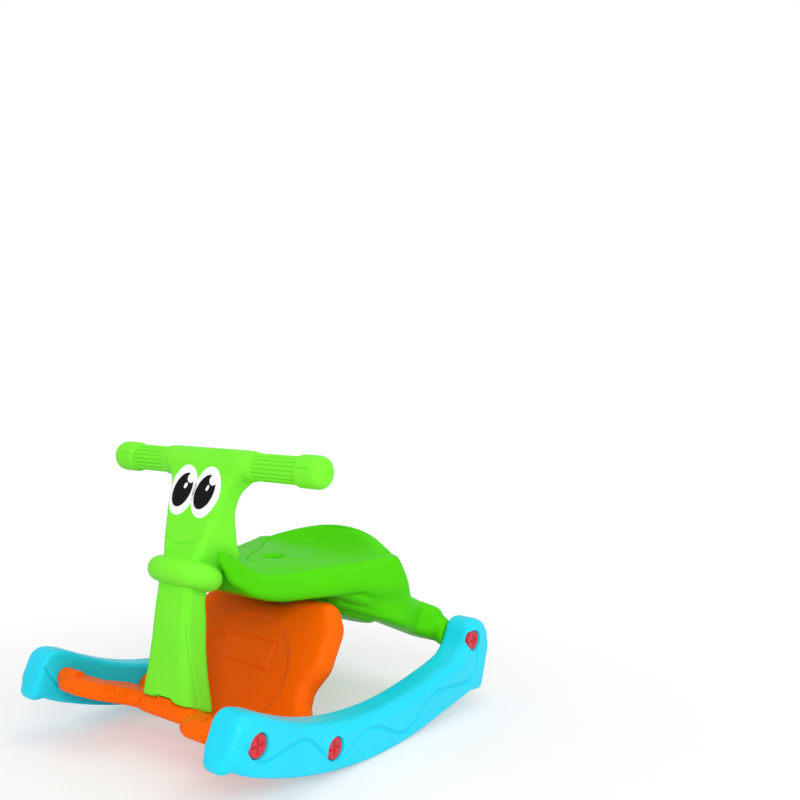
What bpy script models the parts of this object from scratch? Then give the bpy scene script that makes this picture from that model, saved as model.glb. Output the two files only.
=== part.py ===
# Child's balance rocker that comes apart into shells and turns into a chair
# Units are metres. +X is the rider's left, the toy faces -Y, +Z is up.
# The origin is on the ground, under the middle of the toy.

import bpy
import bmesh
from math import atan2, ceil, cos, pi, radians, sin, sqrt
from mathutils import Matrix, Vector

MM = 0.001

# Driving dimensions of the whole toy, in millimetres
INNER_FACE = 158.0          # half the clear width between the runners
RUNNER_THICK = 48.0
OUTER_FACE = INNER_FACE + RUNNER_THICK
WALL = 3.0                  # blow-moulded wall
GAP = 0.3                   # clearance where two pieces touch

MIDDLE_Y = 6.7              # the toy's middle, in the frame in which these lengths are given

# Screw axes on the runners, as (y, z)
FRONT_AXIS = (-233.5, 85.0)
MIDDLE_AXIS = (-95.5, 39.0)
REAR_AXIS = (242.5, 105.0)

# Screws
HEAD_RADIUS = 14.3
HEAD_THICK = 6.0
SHANK_RADIUS = 8.0
SHANK_LENGTH = 62.0
HEAD_SUNK = 3.0             # from the runner's face down to the head's top
SLOT_LONG = 16.0
SLOT_WIDE = 3.2
SLOT_DEEP = 2.5
RUNNING = 0.4               # radial clearance round a screw
RECESS_RADIUS = 15.8

# Pegs on the panels and their sockets in the runners
PEG_RADIUS = 13.5
PEG_LONG = 10.0

# Tilts
BASE_TILT = radians(18.4)   # the base panel falls to the rear
SUPPORT_LEAN = radians(31.6)  # the support panel leans back


def clear_scene():
    for item in list(bpy.data.objects):
        bpy.data.objects.remove(item)


def plastic(name, colour, roughness):
    material = bpy.data.materials.new(name)
    material.use_nodes = True
    shader = material.node_tree.nodes["Principled BSDF"]
    shader.inputs["Base Color"].default_value = (*colour, 1.0)
    shader.inputs["Roughness"].default_value = roughness
    shader.inputs["Metallic"].default_value = 0.0
    material.diffuse_color = (*colour, 1.0)
    return material


# Outlines and curves

def arc(centre, radius, start, end, steps):
    """Points on a circle, from the start angle to the end angle in degrees."""
    points = []
    for step in range(steps + 1):
        angle = radians(start + (end - start) * step / steps)
        points.append((centre[0] + radius * cos(angle), centre[1] + radius * sin(angle)))
    return points


def rounded(corners, largest_turn=22.0):
    """A closed outline from (x, y, radius) corners, each corner an arc of that radius."""
    points = []
    count = len(corners)
    for index, (x, y, radius) in enumerate(corners):
        here = Vector((x, y))
        if radius == 0:
            points.append((x, y))
            continue
        before = (Vector(corners[index - 1][:2]) - here).normalized()
        after = (Vector(corners[(index + 1) % count][:2]) - here).normalized()
        half = before.angle(after) / 2
        reach = radius / max(sin(half), 1e-6) * cos(half)
        centre = here + (before + after).normalized() * (radius / max(sin(half), 1e-6))
        first = here + before * reach - centre
        last = here + after * reach - centre
        turn = first.angle_signed(last)
        steps = max(1, ceil(abs(turn) / radians(largest_turn)))
        start = atan2(first.y, first.x)
        for step in range(steps + 1):
            angle = start - turn * step / steps
            points.append((centre.x + radius * cos(angle), centre.y + radius * sin(angle)))
    return points


def inset(points, distances):
    """The outline moved inwards, each point by its own distance along the mitre."""
    moved = []
    count = len(points)
    for index in range(count):
        here = Vector(points[index])
        before = (here - Vector(points[index - 1])).normalized()
        after = (Vector(points[(index + 1) % count]) - here).normalized()
        normal = Vector((-before.y - after.y, before.x + after.x)).normalized()
        mitre = max(normal.dot(Vector((-before.y, before.x))), 0.5)
        here += normal * (distances[index] / mitre)
        moved.append((here.x, here.y))
    return moved


def smooth_value(knots, at):
    """A smooth value at a place along a list of (place, value) knots."""
    if at <= knots[0][0]:
        return knots[0][1]
    if at >= knots[-1][0]:
        return knots[-1][1]
    index = 0
    while knots[index + 1][0] < at:
        index += 1
    x0, y0 = knots[index]
    x1, y1 = knots[index + 1]
    before = knots[max(index - 1, 0)]
    after = knots[min(index + 2, len(knots) - 1)]
    slope0 = (y1 - before[1]) / (x1 - before[0])
    slope1 = (after[1] - y0) / (after[0] - x0)
    t = (at - x0) / (x1 - x0)
    span = x1 - x0
    return (
        y0 * (1 + 2 * t) * (1 - t) ** 2 + span * slope0 * t * (1 - t) ** 2
        + y1 * t * t * (3 - 2 * t) + span * slope1 * t * t * (t - 1)
    )


# Solids

def new_object(name, mesh_data, place=None):
    """An object from a bmesh in millimetres, put in its place and facing outwards."""
    bmesh.ops.transform(mesh_data, matrix=Matrix.Scale(MM, 4), verts=mesh_data.verts)
    bmesh.ops.recalc_face_normals(mesh_data, faces=mesh_data.faces)
    mesh = bpy.data.meshes.new(name)
    mesh_data.to_mesh(mesh)
    mesh_data.free()
    made = bpy.data.objects.new(name, mesh)
    bpy.context.scene.collection.objects.link(made)
    made.matrix_world = Matrix.Translation((0, -MIDDLE_Y * MM, 0)) @ (place or Matrix.Identity(4))
    return made


def loft(rings):
    """A closed solid through rings that have the same number of points."""
    solid = bmesh.new()
    rows = [[solid.verts.new(point) for point in ring] for ring in rings]
    count = len(rows[0])
    for low, high in zip(rows, rows[1:]):
        for index in range(count):
            after = (index + 1) % count
            solid.faces.new((low[index], low[after], high[after], high[index]))
    caps = [solid.faces.new(rows[0][::-1]), solid.faces.new(rows[-1])]
    solid.normal_update()
    bmesh.ops.triangulate(solid, faces=caps)
    return solid


def slab(outline, low, high, edge_radii, along="X", steps=3, high_radii=None):
    """An outline extruded along an axis, with both of its edges rounded.

    edge_radii is one radius for each point of the outline; high_radii are those at the high
    end where they differ.
    """
    rings = []
    for face, direction, radii in ((low, 1, edge_radii), (high, -1, high_radii or edge_radii)):
        turns = range(steps + 1) if direction == 1 else range(steps, -1, -1)
        for turn in turns:
            angle = pi / 2 * turn / steps
            flat = inset(outline, [r * (1 - sin(angle)) for r in radii])
            ring = []
            for (u, v), radius in zip(flat, radii):
                depth = face + direction * radius * (1 - cos(angle))
                if along == "X":
                    ring.append((depth, u, v))
                elif along == "Y":
                    ring.append((u, depth, v))
                else:
                    ring.append((u, v, depth))
            rings.append(ring)
    return loft(rings)


def turned(profile, sides=16):
    """A solid turned about +X from (distance along X, radius) points."""
    solid = bmesh.new()
    rows = []
    for along, radius in profile:
        if radius == 0:
            rows.append([solid.verts.new((along, 0, 0))])
            continue
        row = []
        for side in range(sides):
            angle = 2 * pi * side / sides
            row.append(solid.verts.new((along, radius * cos(angle), radius * sin(angle))))
        rows.append(row)
    for low, high in zip(rows, rows[1:]):
        for side in range(sides):
            after = (side + 1) % sides
            corners = [low[side % len(low)], low[after % len(low)]]
            corners += [high[after % len(high)], high[side % len(high)]]
            unique = list(dict.fromkeys(corners))
            if len(unique) > 2:
                solid.faces.new(unique)
    caps = [solid.faces.new(row) for row in (rows[0], rows[-1]) if len(row) > 1]
    solid.normal_update()
    bmesh.ops.triangulate(solid, faces=caps)
    return solid


def helper(name, solid, place=None):
    """A cutter or an added boss, which is no piece of the toy itself."""
    made = new_object(name, solid, place)
    made.hide_render = True
    made.display_type = "WIRE"
    return made


def combine(target, other, operation):
    modifier = target.modifiers.new(f"{operation.lower()} {other.name}", "BOOLEAN")
    modifier.operation = operation
    modifier.object = other
    modifier.solver = "EXACT"


def finish(piece, material, smooth_angle=40.0):
    piece.data.materials.append(material)
    piece.data.shade_smooth()
    piece.data.set_sharp_from_angle(angle=radians(smooth_angle))
    return piece


def side_place(y, z, side):
    """Turns a solid made along +X to point at the toy's left or right, at (y, z)."""
    turn = Matrix.Identity(4) if side > 0 else Matrix.Rotation(pi, 4, "Z")
    return Matrix.Translation((0, y * MM, z * MM)) @ turn


# Screws and their holes

def screw(name, place, material):
    """A headed plastic screw along +X of its place, the head's top face at x = 0."""
    tip = -HEAD_THICK - SHANK_LENGTH
    body = turned([
        (tip, SHANK_RADIUS - 2.0), (tip + 3.0, SHANK_RADIUS), (-HEAD_THICK, SHANK_RADIUS),
        (-HEAD_THICK, HEAD_RADIUS), (-1.2, HEAD_RADIUS), (0.0, HEAD_RADIUS - 1.6),
    ])
    piece = new_object(name, body, place)
    long, wide = SLOT_LONG / 2, SLOT_WIDE / 2
    quarter = [(long, wide), (wide, wide), (wide, long)]
    cross = []
    for turn in range(4):
        angle = pi / 2 * turn
        for y, z in quarter:
            cross.append((y * cos(angle) - z * sin(angle), y * sin(angle) + z * cos(angle)))
    rings = [[(depth, y, z) for y, z in cross] for depth in (-SLOT_DEEP, SLOT_DEEP)]
    combine(piece, helper(f"{name}_slot", loft(rings), place), "DIFFERENCE")
    return finish(piece, material)


def screw_place(y, z, side):
    """The place of a runner's screw, with its head at the runner's outer face."""
    offset = Matrix.Translation(((OUTER_FACE - HEAD_SUNK) * MM, 0, 0))
    return side_place(y, z, side) @ offset


def peg(end_face):
    """A panel's peg about +X, from inside the panel to inside the runner."""
    return turned([(end_face, PEG_RADIUS), (INNER_FACE + PEG_LONG, PEG_RADIUS)])


def peg_sleeve():
    """The moulded tube round a screw inside a panel."""
    tip = OUTER_FACE - HEAD_SUNK - HEAD_THICK - SHANK_LENGTH
    radius = SHANK_RADIUS + RUNNING + WALL
    return turned([(tip - 2.0 - WALL, radius), (INNER_FACE - 2.0, radius)])


def peg_bore():
    tip = OUTER_FACE - HEAD_SUNK - HEAD_THICK - SHANK_LENGTH
    radius = SHANK_RADIUS + RUNNING
    return turned([(tip - 2.0, radius), (INNER_FACE + PEG_LONG + 5.0, radius)])


def add_pegs(piece, name, axis, root):
    """Pegs, sleeves and screw holes at both ends of a panel."""
    for side, label in ((1, "left"), (-1, "right")):
        place = side_place(*axis, side)
        combine(piece, helper(f"{name}_{label}_peg", peg(root), place), "UNION")
        combine(piece, helper(f"{name}_{label}_sleeve", peg_sleeve(), place), "UNION")
        combine(piece, helper(f"{name}_{label}_hole", peg_bore(), place), "DIFFERENCE")


def vent(piece, name, place):
    """The hole left by the blowing needle, which opens the hollow."""
    needle = turned([(-8.0, 4.0), (8.0, 4.0)], sides=10)
    combine(piece, helper(f"{name}_vent", needle, place), "DIFFERENCE")


# Runners

BOTTOM_CENTRE = (18.5, 697.0)
BOTTOM_RADIUS = 697.0
TOP_LINE = [                # height of the hollow top along the toy
    (-190.0, 101.9), (-150.0, 86.0), (-110.0, 74.3), (-75.0, 67.0), (-33.0, 62.0),
    (11.0, 59.6), (57.0, 61.0), (107.0, 66.5), (165.0, 76.0),
]
FOOT_HALF = 20.0            # half the flat at the lowest point
TOP_EDGE = 17.0             # the outer face's upper edge is rounder than the inner one's
INNER_TOP_EDGE = 7.0
BOTTOM_EDGE = 6.0
FRONT_STOP = (-271.0, 70.0)  # the knobs under both ends of a runner
REAR_STOP = (264.0, 32.5)
STOP_RADIUS = 12.0
STOP_MIDDLE = 175.0         # across the toy


def runner_outline():
    """The runner seen from the side, as (y, z) points and an edge radius for each."""
    foot_rise = BOTTOM_RADIUS - sqrt(BOTTOM_RADIUS ** 2 - FOOT_HALF ** 2)

    def bottom(y):
        return BOTTOM_CENTRE[1] - sqrt(BOTTOM_RADIUS ** 2 - (y - BOTTOM_CENTRE[0]) ** 2) - foot_rise

    corners = []
    for step in range(7):
        y = -244.0 + (BOTTOM_CENTRE[0] - FOOT_HALF + 244.0) * step / 6
        corners.append((y, bottom(y), 0))
    for step in range(4):
        y = BOTTOM_CENTRE[0] + FOOT_HALF + 100.0 * step / 3
        corners.append((y, bottom(y), 0))
    corners += [(270.0, 31.0, 12.0), (299.0, 84.0, 30.0), (286.4, 130.5, 36.0)]
    corners += [(238.0, 137.5, 26.0), (220.0, 88.0, 55.0)]
    for step in range(7):
        y = 165.0 - (165.0 + 190.0) * step / 6
        corners.append((y, smooth_value(TOP_LINE, y), 0))
    corners += [(-224.0, 118.0, 30.0), (-256.0, 128.0, 22.0), (-282.0, 76.0, 18.0)]
    corners += [(-258.0, bottom(-258.0), 12.0)]
    outline = rounded(corners)
    radii = []
    for y, z in outline:
        middle = bottom(max(min(y, 200.0), -200.0)) + 27.0
        share = min(max((z - middle + 12.0) / 24.0, 0.0), 1.0)
        radii.append(BOTTOM_EDGE + (TOP_EDGE - BOTTOM_EDGE) * share)
    return outline, radii


def stop():
    """The round knob under a runner's end, which keeps the toy from tipping over."""
    half = [(8.0, STOP_RADIUS), (12.5, STOP_RADIUS - 2.0), (14.5, STOP_RADIUS - 6.0)]
    profile = [(STOP_MIDDLE - x, r) for x, r in reversed(half)] + [(STOP_MIDDLE + x, r) for x, r in half]
    return turned(profile, sides=12)


def runner(name, side, material):
    outline, radii = runner_outline()
    turn = Matrix.Identity(4) if side > 0 else Matrix.Scale(-1, 4, (1, 0, 0))
    inner_edge = [min(radius, INNER_TOP_EDGE) for radius in radii]
    shell = slab(outline, INNER_FACE, OUTER_FACE, inner_edge, high_radii=radii)
    bmesh.ops.transform(shell, matrix=turn, verts=shell.verts)
    piece = new_object(name, shell)
    inner = inset(outline, [WALL] * len(outline))
    low_radii = [radius - WALL for radius in inner_edge]
    high_radii = [radius - WALL for radius in radii]
    hollow = slab(inner, INNER_FACE + WALL, OUTER_FACE - WALL, low_radii, steps=1, high_radii=high_radii)
    bmesh.ops.transform(hollow, matrix=turn, verts=hollow.verts)
    for label, (y, z) in (("front", FRONT_STOP), ("rear", REAR_STOP)):
        combine(piece, helper(f"{name}_{label}_stop", stop(), side_place(y, z, side)), "UNION")
    combine(piece, helper(f"{name}_hollow", hollow), "DIFFERENCE")
    bore = SHANK_RADIUS + RUNNING
    floor = OUTER_FACE - HEAD_SUNK - HEAD_THICK - GAP
    socket = PEG_RADIUS + GAP
    socket_end = INNER_FACE + PEG_LONG + GAP
    for label, (y, z) in (("front", FRONT_AXIS), ("middle", MIDDLE_AXIS), ("rear", REAR_AXIS)):
        place = side_place(y, z, side)
        boss = turned([
            (INNER_FACE + WALL / 2, socket + WALL), (socket_end + WALL, socket + WALL),
            (socket_end + WALL, bore + WALL), (floor - WALL, bore + WALL),
            (floor - WALL, RECESS_RADIUS + WALL), (OUTER_FACE - WALL / 2, RECESS_RADIUS + WALL),
        ], sides=12)
        combine(piece, helper(f"{name}_{label}_boss", boss, place), "UNION")
        hole = turned([
            (INNER_FACE - 5, socket), (socket_end, socket), (socket_end, bore),
            (floor, bore), (floor, RECESS_RADIUS), (OUTER_FACE + 5, RECESS_RADIUS),
        ])
        combine(piece, helper(f"{name}_{label}_bore", hole, place), "DIFFERENCE")
    vent_place = side_place(90.0, 34.0, side) @ Matrix.Translation((INNER_FACE * MM, 0, 0))
    vent(piece, name, vent_place)
    return finish(piece, material)


# Base panel, in its own frame: x across, y to the rear along the slope, z square to it

BASE_LOW = -16.0            # the smooth face that looks down
BASE_HIGH = 2.0
PAD_HIGH = 6.5              # the thicker front part, with the lobes and the column's seat
COLUMN_SCREW_AT = 60.0


def base_place():
    y, z = FRONT_AXIS
    return Matrix.Translation((0, y * MM, z * MM)) @ Matrix.Rotation(-BASE_TILT, 4, "X")


def mirrored(half):
    """A closed outline from the corners of its +x half, in order from front to rear."""
    return half + [(-x, y, r) for x, y, r in reversed(half)]


def base_outline(inner=0.0):
    half = [
        (38.0, 34.0, 10.0), (50.0, 43.0, 8.0), (62.0, 36.0, 12.0), (80.0, -4.0, 24.0),
        (104.0, -21.0, 20.0), (140.0, -21.0, 24.0), (INNER_FACE - GAP, -8.0, 20.0),
        (INNER_FACE - GAP, 118.0, 16.0),
    ]
    outline = rounded(mirrored(half), 30.0)
    return inset(outline, [inner] * len(outline))


def pad_outline(inner=0.0):
    half = [
        (38.0, 38.0, 10.0), (50.0, 47.0, 8.0), (64.0, 40.0, 12.0), (84.0, 2.0, 20.0),
        (106.0, -15.0, 18.0), (138.0, -15.0, 18.0), (INNER_FACE - 5.0, 0.0, 14.0),
        (INNER_FACE - 5.0, 40.0, 14.0), (60.0, 92.0, 20.0),
    ]
    outline = rounded(mirrored(half), 30.0)
    return inset(outline, [inner] * len(outline))


def base_panel(material):
    place = base_place()
    outline = base_outline()
    piece = new_object("base_panel", slab(outline, BASE_LOW, BASE_HIGH, [8.0] * len(outline), "Z"), place)
    top = pad_outline()
    pad = slab(top, BASE_LOW + 6.0, PAD_HIGH, [5.0] * len(top), "Z")
    combine(piece, helper("base_panel_pad", pad, place), "UNION")
    inner = base_outline(WALL)
    hollow = slab(inner, BASE_LOW + WALL, BASE_HIGH - WALL, [5.0] * len(inner), "Z", 1)
    combine(piece, helper("base_panel_hollow", hollow, place), "DIFFERENCE")
    add_pegs(piece, "base_panel", FRONT_AXIS, INNER_FACE - 30.0)
    upright = place @ Matrix.Translation((0, COLUMN_SCREW_AT * MM, 0)) @ Matrix.Rotation(pi / 2, 4, "Y")
    bore = SHANK_RADIUS + RUNNING
    floor = HEAD_THICK + HEAD_SUNK + GAP
    boss = turned([
        (-PAD_HIGH + 1.0, bore + WALL), (-BASE_LOW - floor - WALL, bore + WALL),
        (-BASE_LOW - floor - WALL, RECESS_RADIUS + WALL), (-BASE_LOW - 1.0, RECESS_RADIUS + WALL),
    ])
    combine(piece, helper("base_panel_boss", boss, upright), "UNION")
    hole = turned([
        (-PAD_HIGH - 5.0, bore), (-BASE_LOW - floor, bore),
        (-BASE_LOW - floor, RECESS_RADIUS), (-BASE_LOW + 5.0, RECESS_RADIUS),
    ])
    combine(piece, helper("base_panel_bore", hole, upright), "DIFFERENCE")
    vent(piece, "base_panel", place @ Matrix.Translation((60.0 * MM, 100.0 * MM, BASE_HIGH * MM))
         @ Matrix.Rotation(pi / 2, 4, "Y"))
    return finish(piece, material)


def column_screw_place():
    offset = Matrix.Translation((0, COLUMN_SCREW_AT * MM, (BASE_LOW + HEAD_SUNK) * MM))
    return base_place() @ offset @ Matrix.Rotation(pi / 2, 4, "Y")


# Head column, in the base panel's frame: it stands square to the panel

# (height, front face, rear face, half-width in front, half-width behind, corner radius)
COLUMN_SECTIONS = [
    (PAD_HIGH + GAP, 36.5, 90.0, 45.8, 45.8, 12.0),
    (45.0, 27.7, 76.0, 39.6, 39.6, 12.0),
    (80.0, 18.3, 66.0, 34.1, 34.1, 12.0),
    (150.0, 5.9, 44.0, 31.3, 31.3, 10.0),
    (178.0, 4.0, 51.0, 29.5, 33.0, 10.0),
    (188.0, 4.1, 63.0, 32.5, 38.0, 10.0),
    (197.0, 4.2, 71.0, 35.5, 42.0, 10.0),
    (205.0, 4.3, 74.0, 38.0, 45.0, 10.0),
    (213.0, 4.4, 68.0, 40.0, 47.5, 10.0),
    (224.0, 4.6, 59.0, 42.5, 49.0, 10.0),
    (239.0, 4.8, 51.0, 45.6, 50.0, 10.0),
    (251.0, 4.9, 45.0, 48.3, 50.5, 10.0),
    (264.0, 5.1, 41.8, 51.0, 51.0, 11.0),
    (285.0, 5.4, 44.0, 54.0, 53.0, 12.0),
    (300.0, 5.6, 49.0, 63.0, 62.0, 14.0),
    (318.0, 5.8, 49.5, 82.0, 82.0, 16.0),
    (334.0, 15.5, 41.5, 78.0, 78.0, 12.0),
]
BAR_AT = (28.5, 320.0)
BAR_HALF = 189.0
GRIP_RADIUS = 17.6
CAP_RADIUS = 20.7
COLLAR_AT = (23.0, 170.5)
COLLAR_HALF_WIDTH = 57.0
COLLAR_HALF_DEPTH = 40.0
COLLAR_HALF_HEIGHT = 17.0


def section_ring(height, front, rear, front_half, rear_half, radius, steps=3):
    ring = []
    behind, before = (rear, rear_half), (front, front_half)
    corners = ((1, *behind), (-1, *behind), (-1, *before), (1, *before))
    for quarter, (side, face, half) in enumerate(corners):
        inwards = -radius if face == rear else radius
        for step in range(steps + 1):
            angle = pi / 2 * (quarter + step / steps)
            x = side * (half - radius) + radius * cos(angle)
            ring.append((x, face + inwards + radius * sin(angle), height))
    return ring


def bar_profile(inner=0.0):
    """Half of the handlebar's profile, as (distance from the middle, radius)."""
    half = [(0.0, 20.5), (70.0, 20.5), (84.0, 19.6), (90.0, GRIP_RADIUS), (147.0, GRIP_RADIUS)]
    half += [(151.0, CAP_RADIUS), (178.0, CAP_RADIUS), (186.0, 17.5), (BAR_HALF, 11.0)]
    left = [(-x + inner, r - inner) for x, r in reversed(half)]
    return left + [(x - inner, r - inner) for x, r in half[1:]]


def collar():
    """The thick oval collar round the column, with a rounded rim."""
    outline = []
    for step in range(28):
        angle = 2 * pi * step / 28
        outline.append((COLLAR_HALF_WIDTH * cos(angle), COLLAR_AT[0] + COLLAR_HALF_DEPTH * sin(angle)))
    low, high = COLLAR_AT[1] - COLLAR_HALF_HEIGHT, COLLAR_AT[1] + COLLAR_HALF_HEIGHT
    return slab(outline, low, high, [COLLAR_HALF_HEIGHT - 1.0] * len(outline), "Z")


def head_column(material):
    place = base_place()
    outer = loft([section_ring(*section) for section in COLUMN_SECTIONS])
    piece = new_object("head_column", outer, place)
    bar_place = place @ Matrix.Translation((0, BAR_AT[0] * MM, BAR_AT[1] * MM))
    combine(piece, helper("head_column_bar", turned(bar_profile()), bar_place), "UNION")
    combine(piece, helper("head_column_collar", collar(), place), "UNION")
    sections = []
    for height, front, rear, front_half, rear_half, radius in COLUMN_SECTIONS:
        low = max(height, COLUMN_SECTIONS[0][0] + WALL)
        halves = (front_half - WALL, rear_half - WALL)
        sections.append((low, front + WALL, rear - WALL, *halves, radius - WALL))
    inside = loft([section_ring(*section, steps=2) for section in sections[:-1]])
    combine(piece, helper("head_column_hollow", inside, place), "DIFFERENCE")
    tube = turned(bar_profile(WALL), 12)
    combine(piece, helper("head_column_bar_hollow", tube, bar_place), "DIFFERENCE")
    upright = place @ Matrix.Translation((0, COLUMN_SCREW_AT * MM, 0)) @ Matrix.Rotation(-pi / 2, 4, "Y")
    tip = BASE_LOW + HEAD_SUNK + HEAD_THICK + SHANK_LENGTH
    bore = SHANK_RADIUS + RUNNING
    foot = COLUMN_SECTIONS[0][0]
    sleeve = turned([(foot + 1.0, bore + WALL), (tip + 2.0 + WALL, bore + WALL)])
    combine(piece, helper("head_column_sleeve", sleeve, upright), "UNION")
    hole = turned([(foot - 5.0, bore), (tip + 2.0, bore)])
    combine(piece, helper("head_column_bore", hole, upright), "DIFFERENCE")
    vent(piece, "head_column", place @ Matrix.Translation((28.0 * MM, 64.0 * MM, foot * MM))
         @ Matrix.Rotation(pi / 2, 4, "Y"))
    return finish(piece, material)


# Support panel, in its own frame: x across, y to the rear, z up along the lean

SUPPORT_FRONT = 7.6
SUPPORT_THICK = 36.0
SUPPORT_BACK = SUPPORT_FRONT + SUPPORT_THICK
BLOCK_INNER = 126.0         # the blocks round the screws start here, across the toy


def support_place():
    y, z = MIDDLE_AXIS
    return Matrix.Translation((0, y * MM, z * MM)) @ Matrix.Rotation(-SUPPORT_LEAN, 4, "X")


def support_outline():
    """The panel from the front: wide at the screws, a waist, and two round lobes at the top."""
    edge = INNER_FACE - GAP
    foot = [(0.0, -20.0, 0.0), (edge, -20.0, 17.0), (edge, 26.0, 17.0)]
    lobe = [(125.5, 34.0, 18.0), (121.0, 62.0, 22.0), (134.3, 94.0, 30.0), (132.0, 154.0, 32.0)]
    dip = [(109.0, 184.5, 22.0), (56.0, 184.5, 22.0), (36.0, 176.0, 0.0), (22.0, 172.0, 0.0)]
    outline = rounded([*foot, *lobe, *dip, (0.0, 171.0, 0.0)], 30.0)
    mirror = [(-x, z) for x, z in reversed(outline[1:-1])]
    return outline + mirror


def support_panel(material):
    place = support_place()
    outline = support_outline()
    edges = [15.0] * len(outline)
    piece = new_object("support_panel", slab(outline, SUPPORT_FRONT, SUPPORT_BACK, edges, "Y"), place)
    square = ((-16.0, -20.0), (30.0, -20.0), (30.0, 20.0), (-16.0, 20.0))
    block = rounded([(y, z, 14.0) for y, z in square], 30.0)
    block_edges = [8.0] * len(block)
    outer = INNER_FACE - GAP
    for label, low, high in (("left", BLOCK_INNER, outer), ("right", -outer, -BLOCK_INNER)):
        solid = slab(block, low, high, block_edges, steps=2)
        combine(piece, helper(f"support_panel_{label}_block", solid, place), "UNION")
    inner = inset(outline, [WALL] * len(outline))
    hollow = slab(inner, SUPPORT_FRONT + WALL, SUPPORT_BACK - WALL, [12.0] * len(inner), "Y", 1)
    combine(piece, helper("support_panel_hollow", hollow, place), "DIFFERENCE")
    inside = inset(block, [WALL] * len(block))
    inside_edges = [5.0] * len(block)
    for label, low, high in (("left", BLOCK_INNER, outer), ("right", -outer, -BLOCK_INNER)):
        solid = slab(inside, low + WALL, high - WALL, inside_edges, steps=1)
        combine(piece, helper(f"support_panel_{label}_block_hollow", solid, place), "DIFFERENCE")
    add_pegs(piece, "support_panel", MIDDLE_AXIS, INNER_FACE - 12.0)
    post = turned([(SEAT_JOIN - 41.0, SLEEVE_RADIUS), (SEAT_JOIN, SLEEVE_RADIUS)])
    combine(piece, helper("support_panel_post", post, seat_screw_line()), "UNION")
    bore = turned([(SEAT_JOIN - 55.0, SHANK_RADIUS + RUNNING), (SEAT_JOIN + 5.0, SHANK_RADIUS + RUNNING)])
    combine(piece, helper("support_panel_bore", bore, seat_screw_line()), "DIFFERENCE")
    vent(piece, "support_panel", place @ Matrix.Translation((0, SUPPORT_BACK * MM, 60.0 * MM))
         @ Matrix.Rotation(pi / 2, 4, "Z"))
    return finish(piece, material)


# Seat

SEAT_SCREW_Y = 12.0
SEAT_JOIN = 185.0           # height where the seat's post meets the support panel's
SEAT_SCREW_TOP = 205.0
SLEEVE_RADIUS = SHANK_RADIUS + RUNNING + WALL
FACE_SLOPE = radians(23.5)  # the underside, with its engraved face, falls to the rear
PANEL_LOW = 5.0
PANEL_HIGH = 37.0
ARM_LOW = -13.0
ARM_HIGH = 38.6
DOME_AT = 131.3             # the swollen middle of the underside, forward along the slope
DOME_HALF_WIDTH = 108.0
DOME_HALF_LENGTH = 62.0
DOME_LOW = -20.0
DOME_HIGH = 20.0
SADDLE_HIGH = 240.0
SADDLE_EDGE = 4.0
CROWN_Y = 60.0              # the point that the saddle's top rings close in on


def seat_screw_line():
    """Places a solid made along +X so that it stands upright on the seat screw's axis."""
    return Matrix.Translation((0, SEAT_SCREW_Y * MM, 0)) @ Matrix.Rotation(-pi / 2, 4, "Y")


def crease_half(y):
    """Half the width of the saddle's top edge."""
    return 96.0 + 0.31 * y


def saddle_outline():
    half = [(64.0, -100.0), (80.0, -52.0), (99.0, 8.0), (112.0, 48.0), (124.0, 90.0), (133.0, 118.0)]
    half += arc((116.0, 126.0), 20.0, -15.0, 65.0, 3) + [(98.0, 155.0), (66.0, 168.0), (33.0, 175.0)]
    return [*half, (0.0, 177.0)] + [(-x, y) for x, y in reversed(half)]


def cantle_lift(x, y):
    """How far the raised rear lip stands above the saddle."""
    crest = 28.0 * max(1.0 - (x / 118.0) ** 2, 0.0)
    rear = 177.0 - 46.0 * (abs(x) / 118.0) ** 2
    share = min(max((y - rear + 38.0) / 30.0, 0.0), 1.0)
    return crest * share * share * (3 - 2 * share)


def saddle_top(x, y):
    edge = smooth_value([(-100, 2.0), (-75, -6.0), (-30, -7.0), (50, -3.0), (120, 1.0)], y)
    share = min(abs(x) / crease_half(y), 1.0)
    return SADDLE_HIGH + edge * share ** 3 + cantle_lift(x, y)


def saddle_low(y):
    """Height of the skirt's lower edge."""
    skirt = smooth_value([(-100, 209.0), (-75, 199.0), (-50, 195.0), (0, 193.5), (60, 193.0)], y)
    return min(skirt, panel_middle(y))


def rear_slope(y, share):
    """How far the rear wall has run back at a share of its height, from the bottom up."""
    return 0.5 * (1.0 - share) * 75.0 * min(max((y - 95.0) / 40.0, 0.0), 1.0)


def panel_middle(y):
    """Height of the sloping panel's middle above a place along the toy."""
    centre = (ARM_LOW + ARM_HIGH) / 2
    along = (REAR_AXIS[0] + centre * sin(FACE_SLOPE) - y) / cos(FACE_SLOPE)
    return REAR_AXIS[1] + along * sin(FACE_SLOPE) + centre * cos(FACE_SLOPE)


def lowest_top(x, y):
    """The lowest of the saddle's top near a place, for a hollow that keeps its wall."""
    near = [saddle_top(x + dx, y + dy) for dx in (-7, 0, 7) for dy in (-7, 0, 7)]
    return min(near)


def cap_across(solid, row, height, outwards):
    """Closes a ring that mirrors about x = 0, with strips from side to side."""
    half = len(row) // 2
    left, rear, right = row[:half], row[half], row[:half:-1]
    middle = [solid.verts.new((0, v.co.y, height(v.co.y, v.co.z))) for v in left[1:]]
    faces = [(left[0], left[1], middle[0], right[1], right[0])]
    for index in range(1, half - 1):
        faces.append((left[index], left[index + 1], middle[index], middle[index - 1]))
        faces.append((right[index + 1], right[index], middle[index - 1], middle[index]))
    faces += [(left[-1], rear, middle[-1]), (rear, right[-1], middle[-1])]
    for corners in faces:
        solid.faces.new(corners if outwards else corners[::-1])


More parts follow.
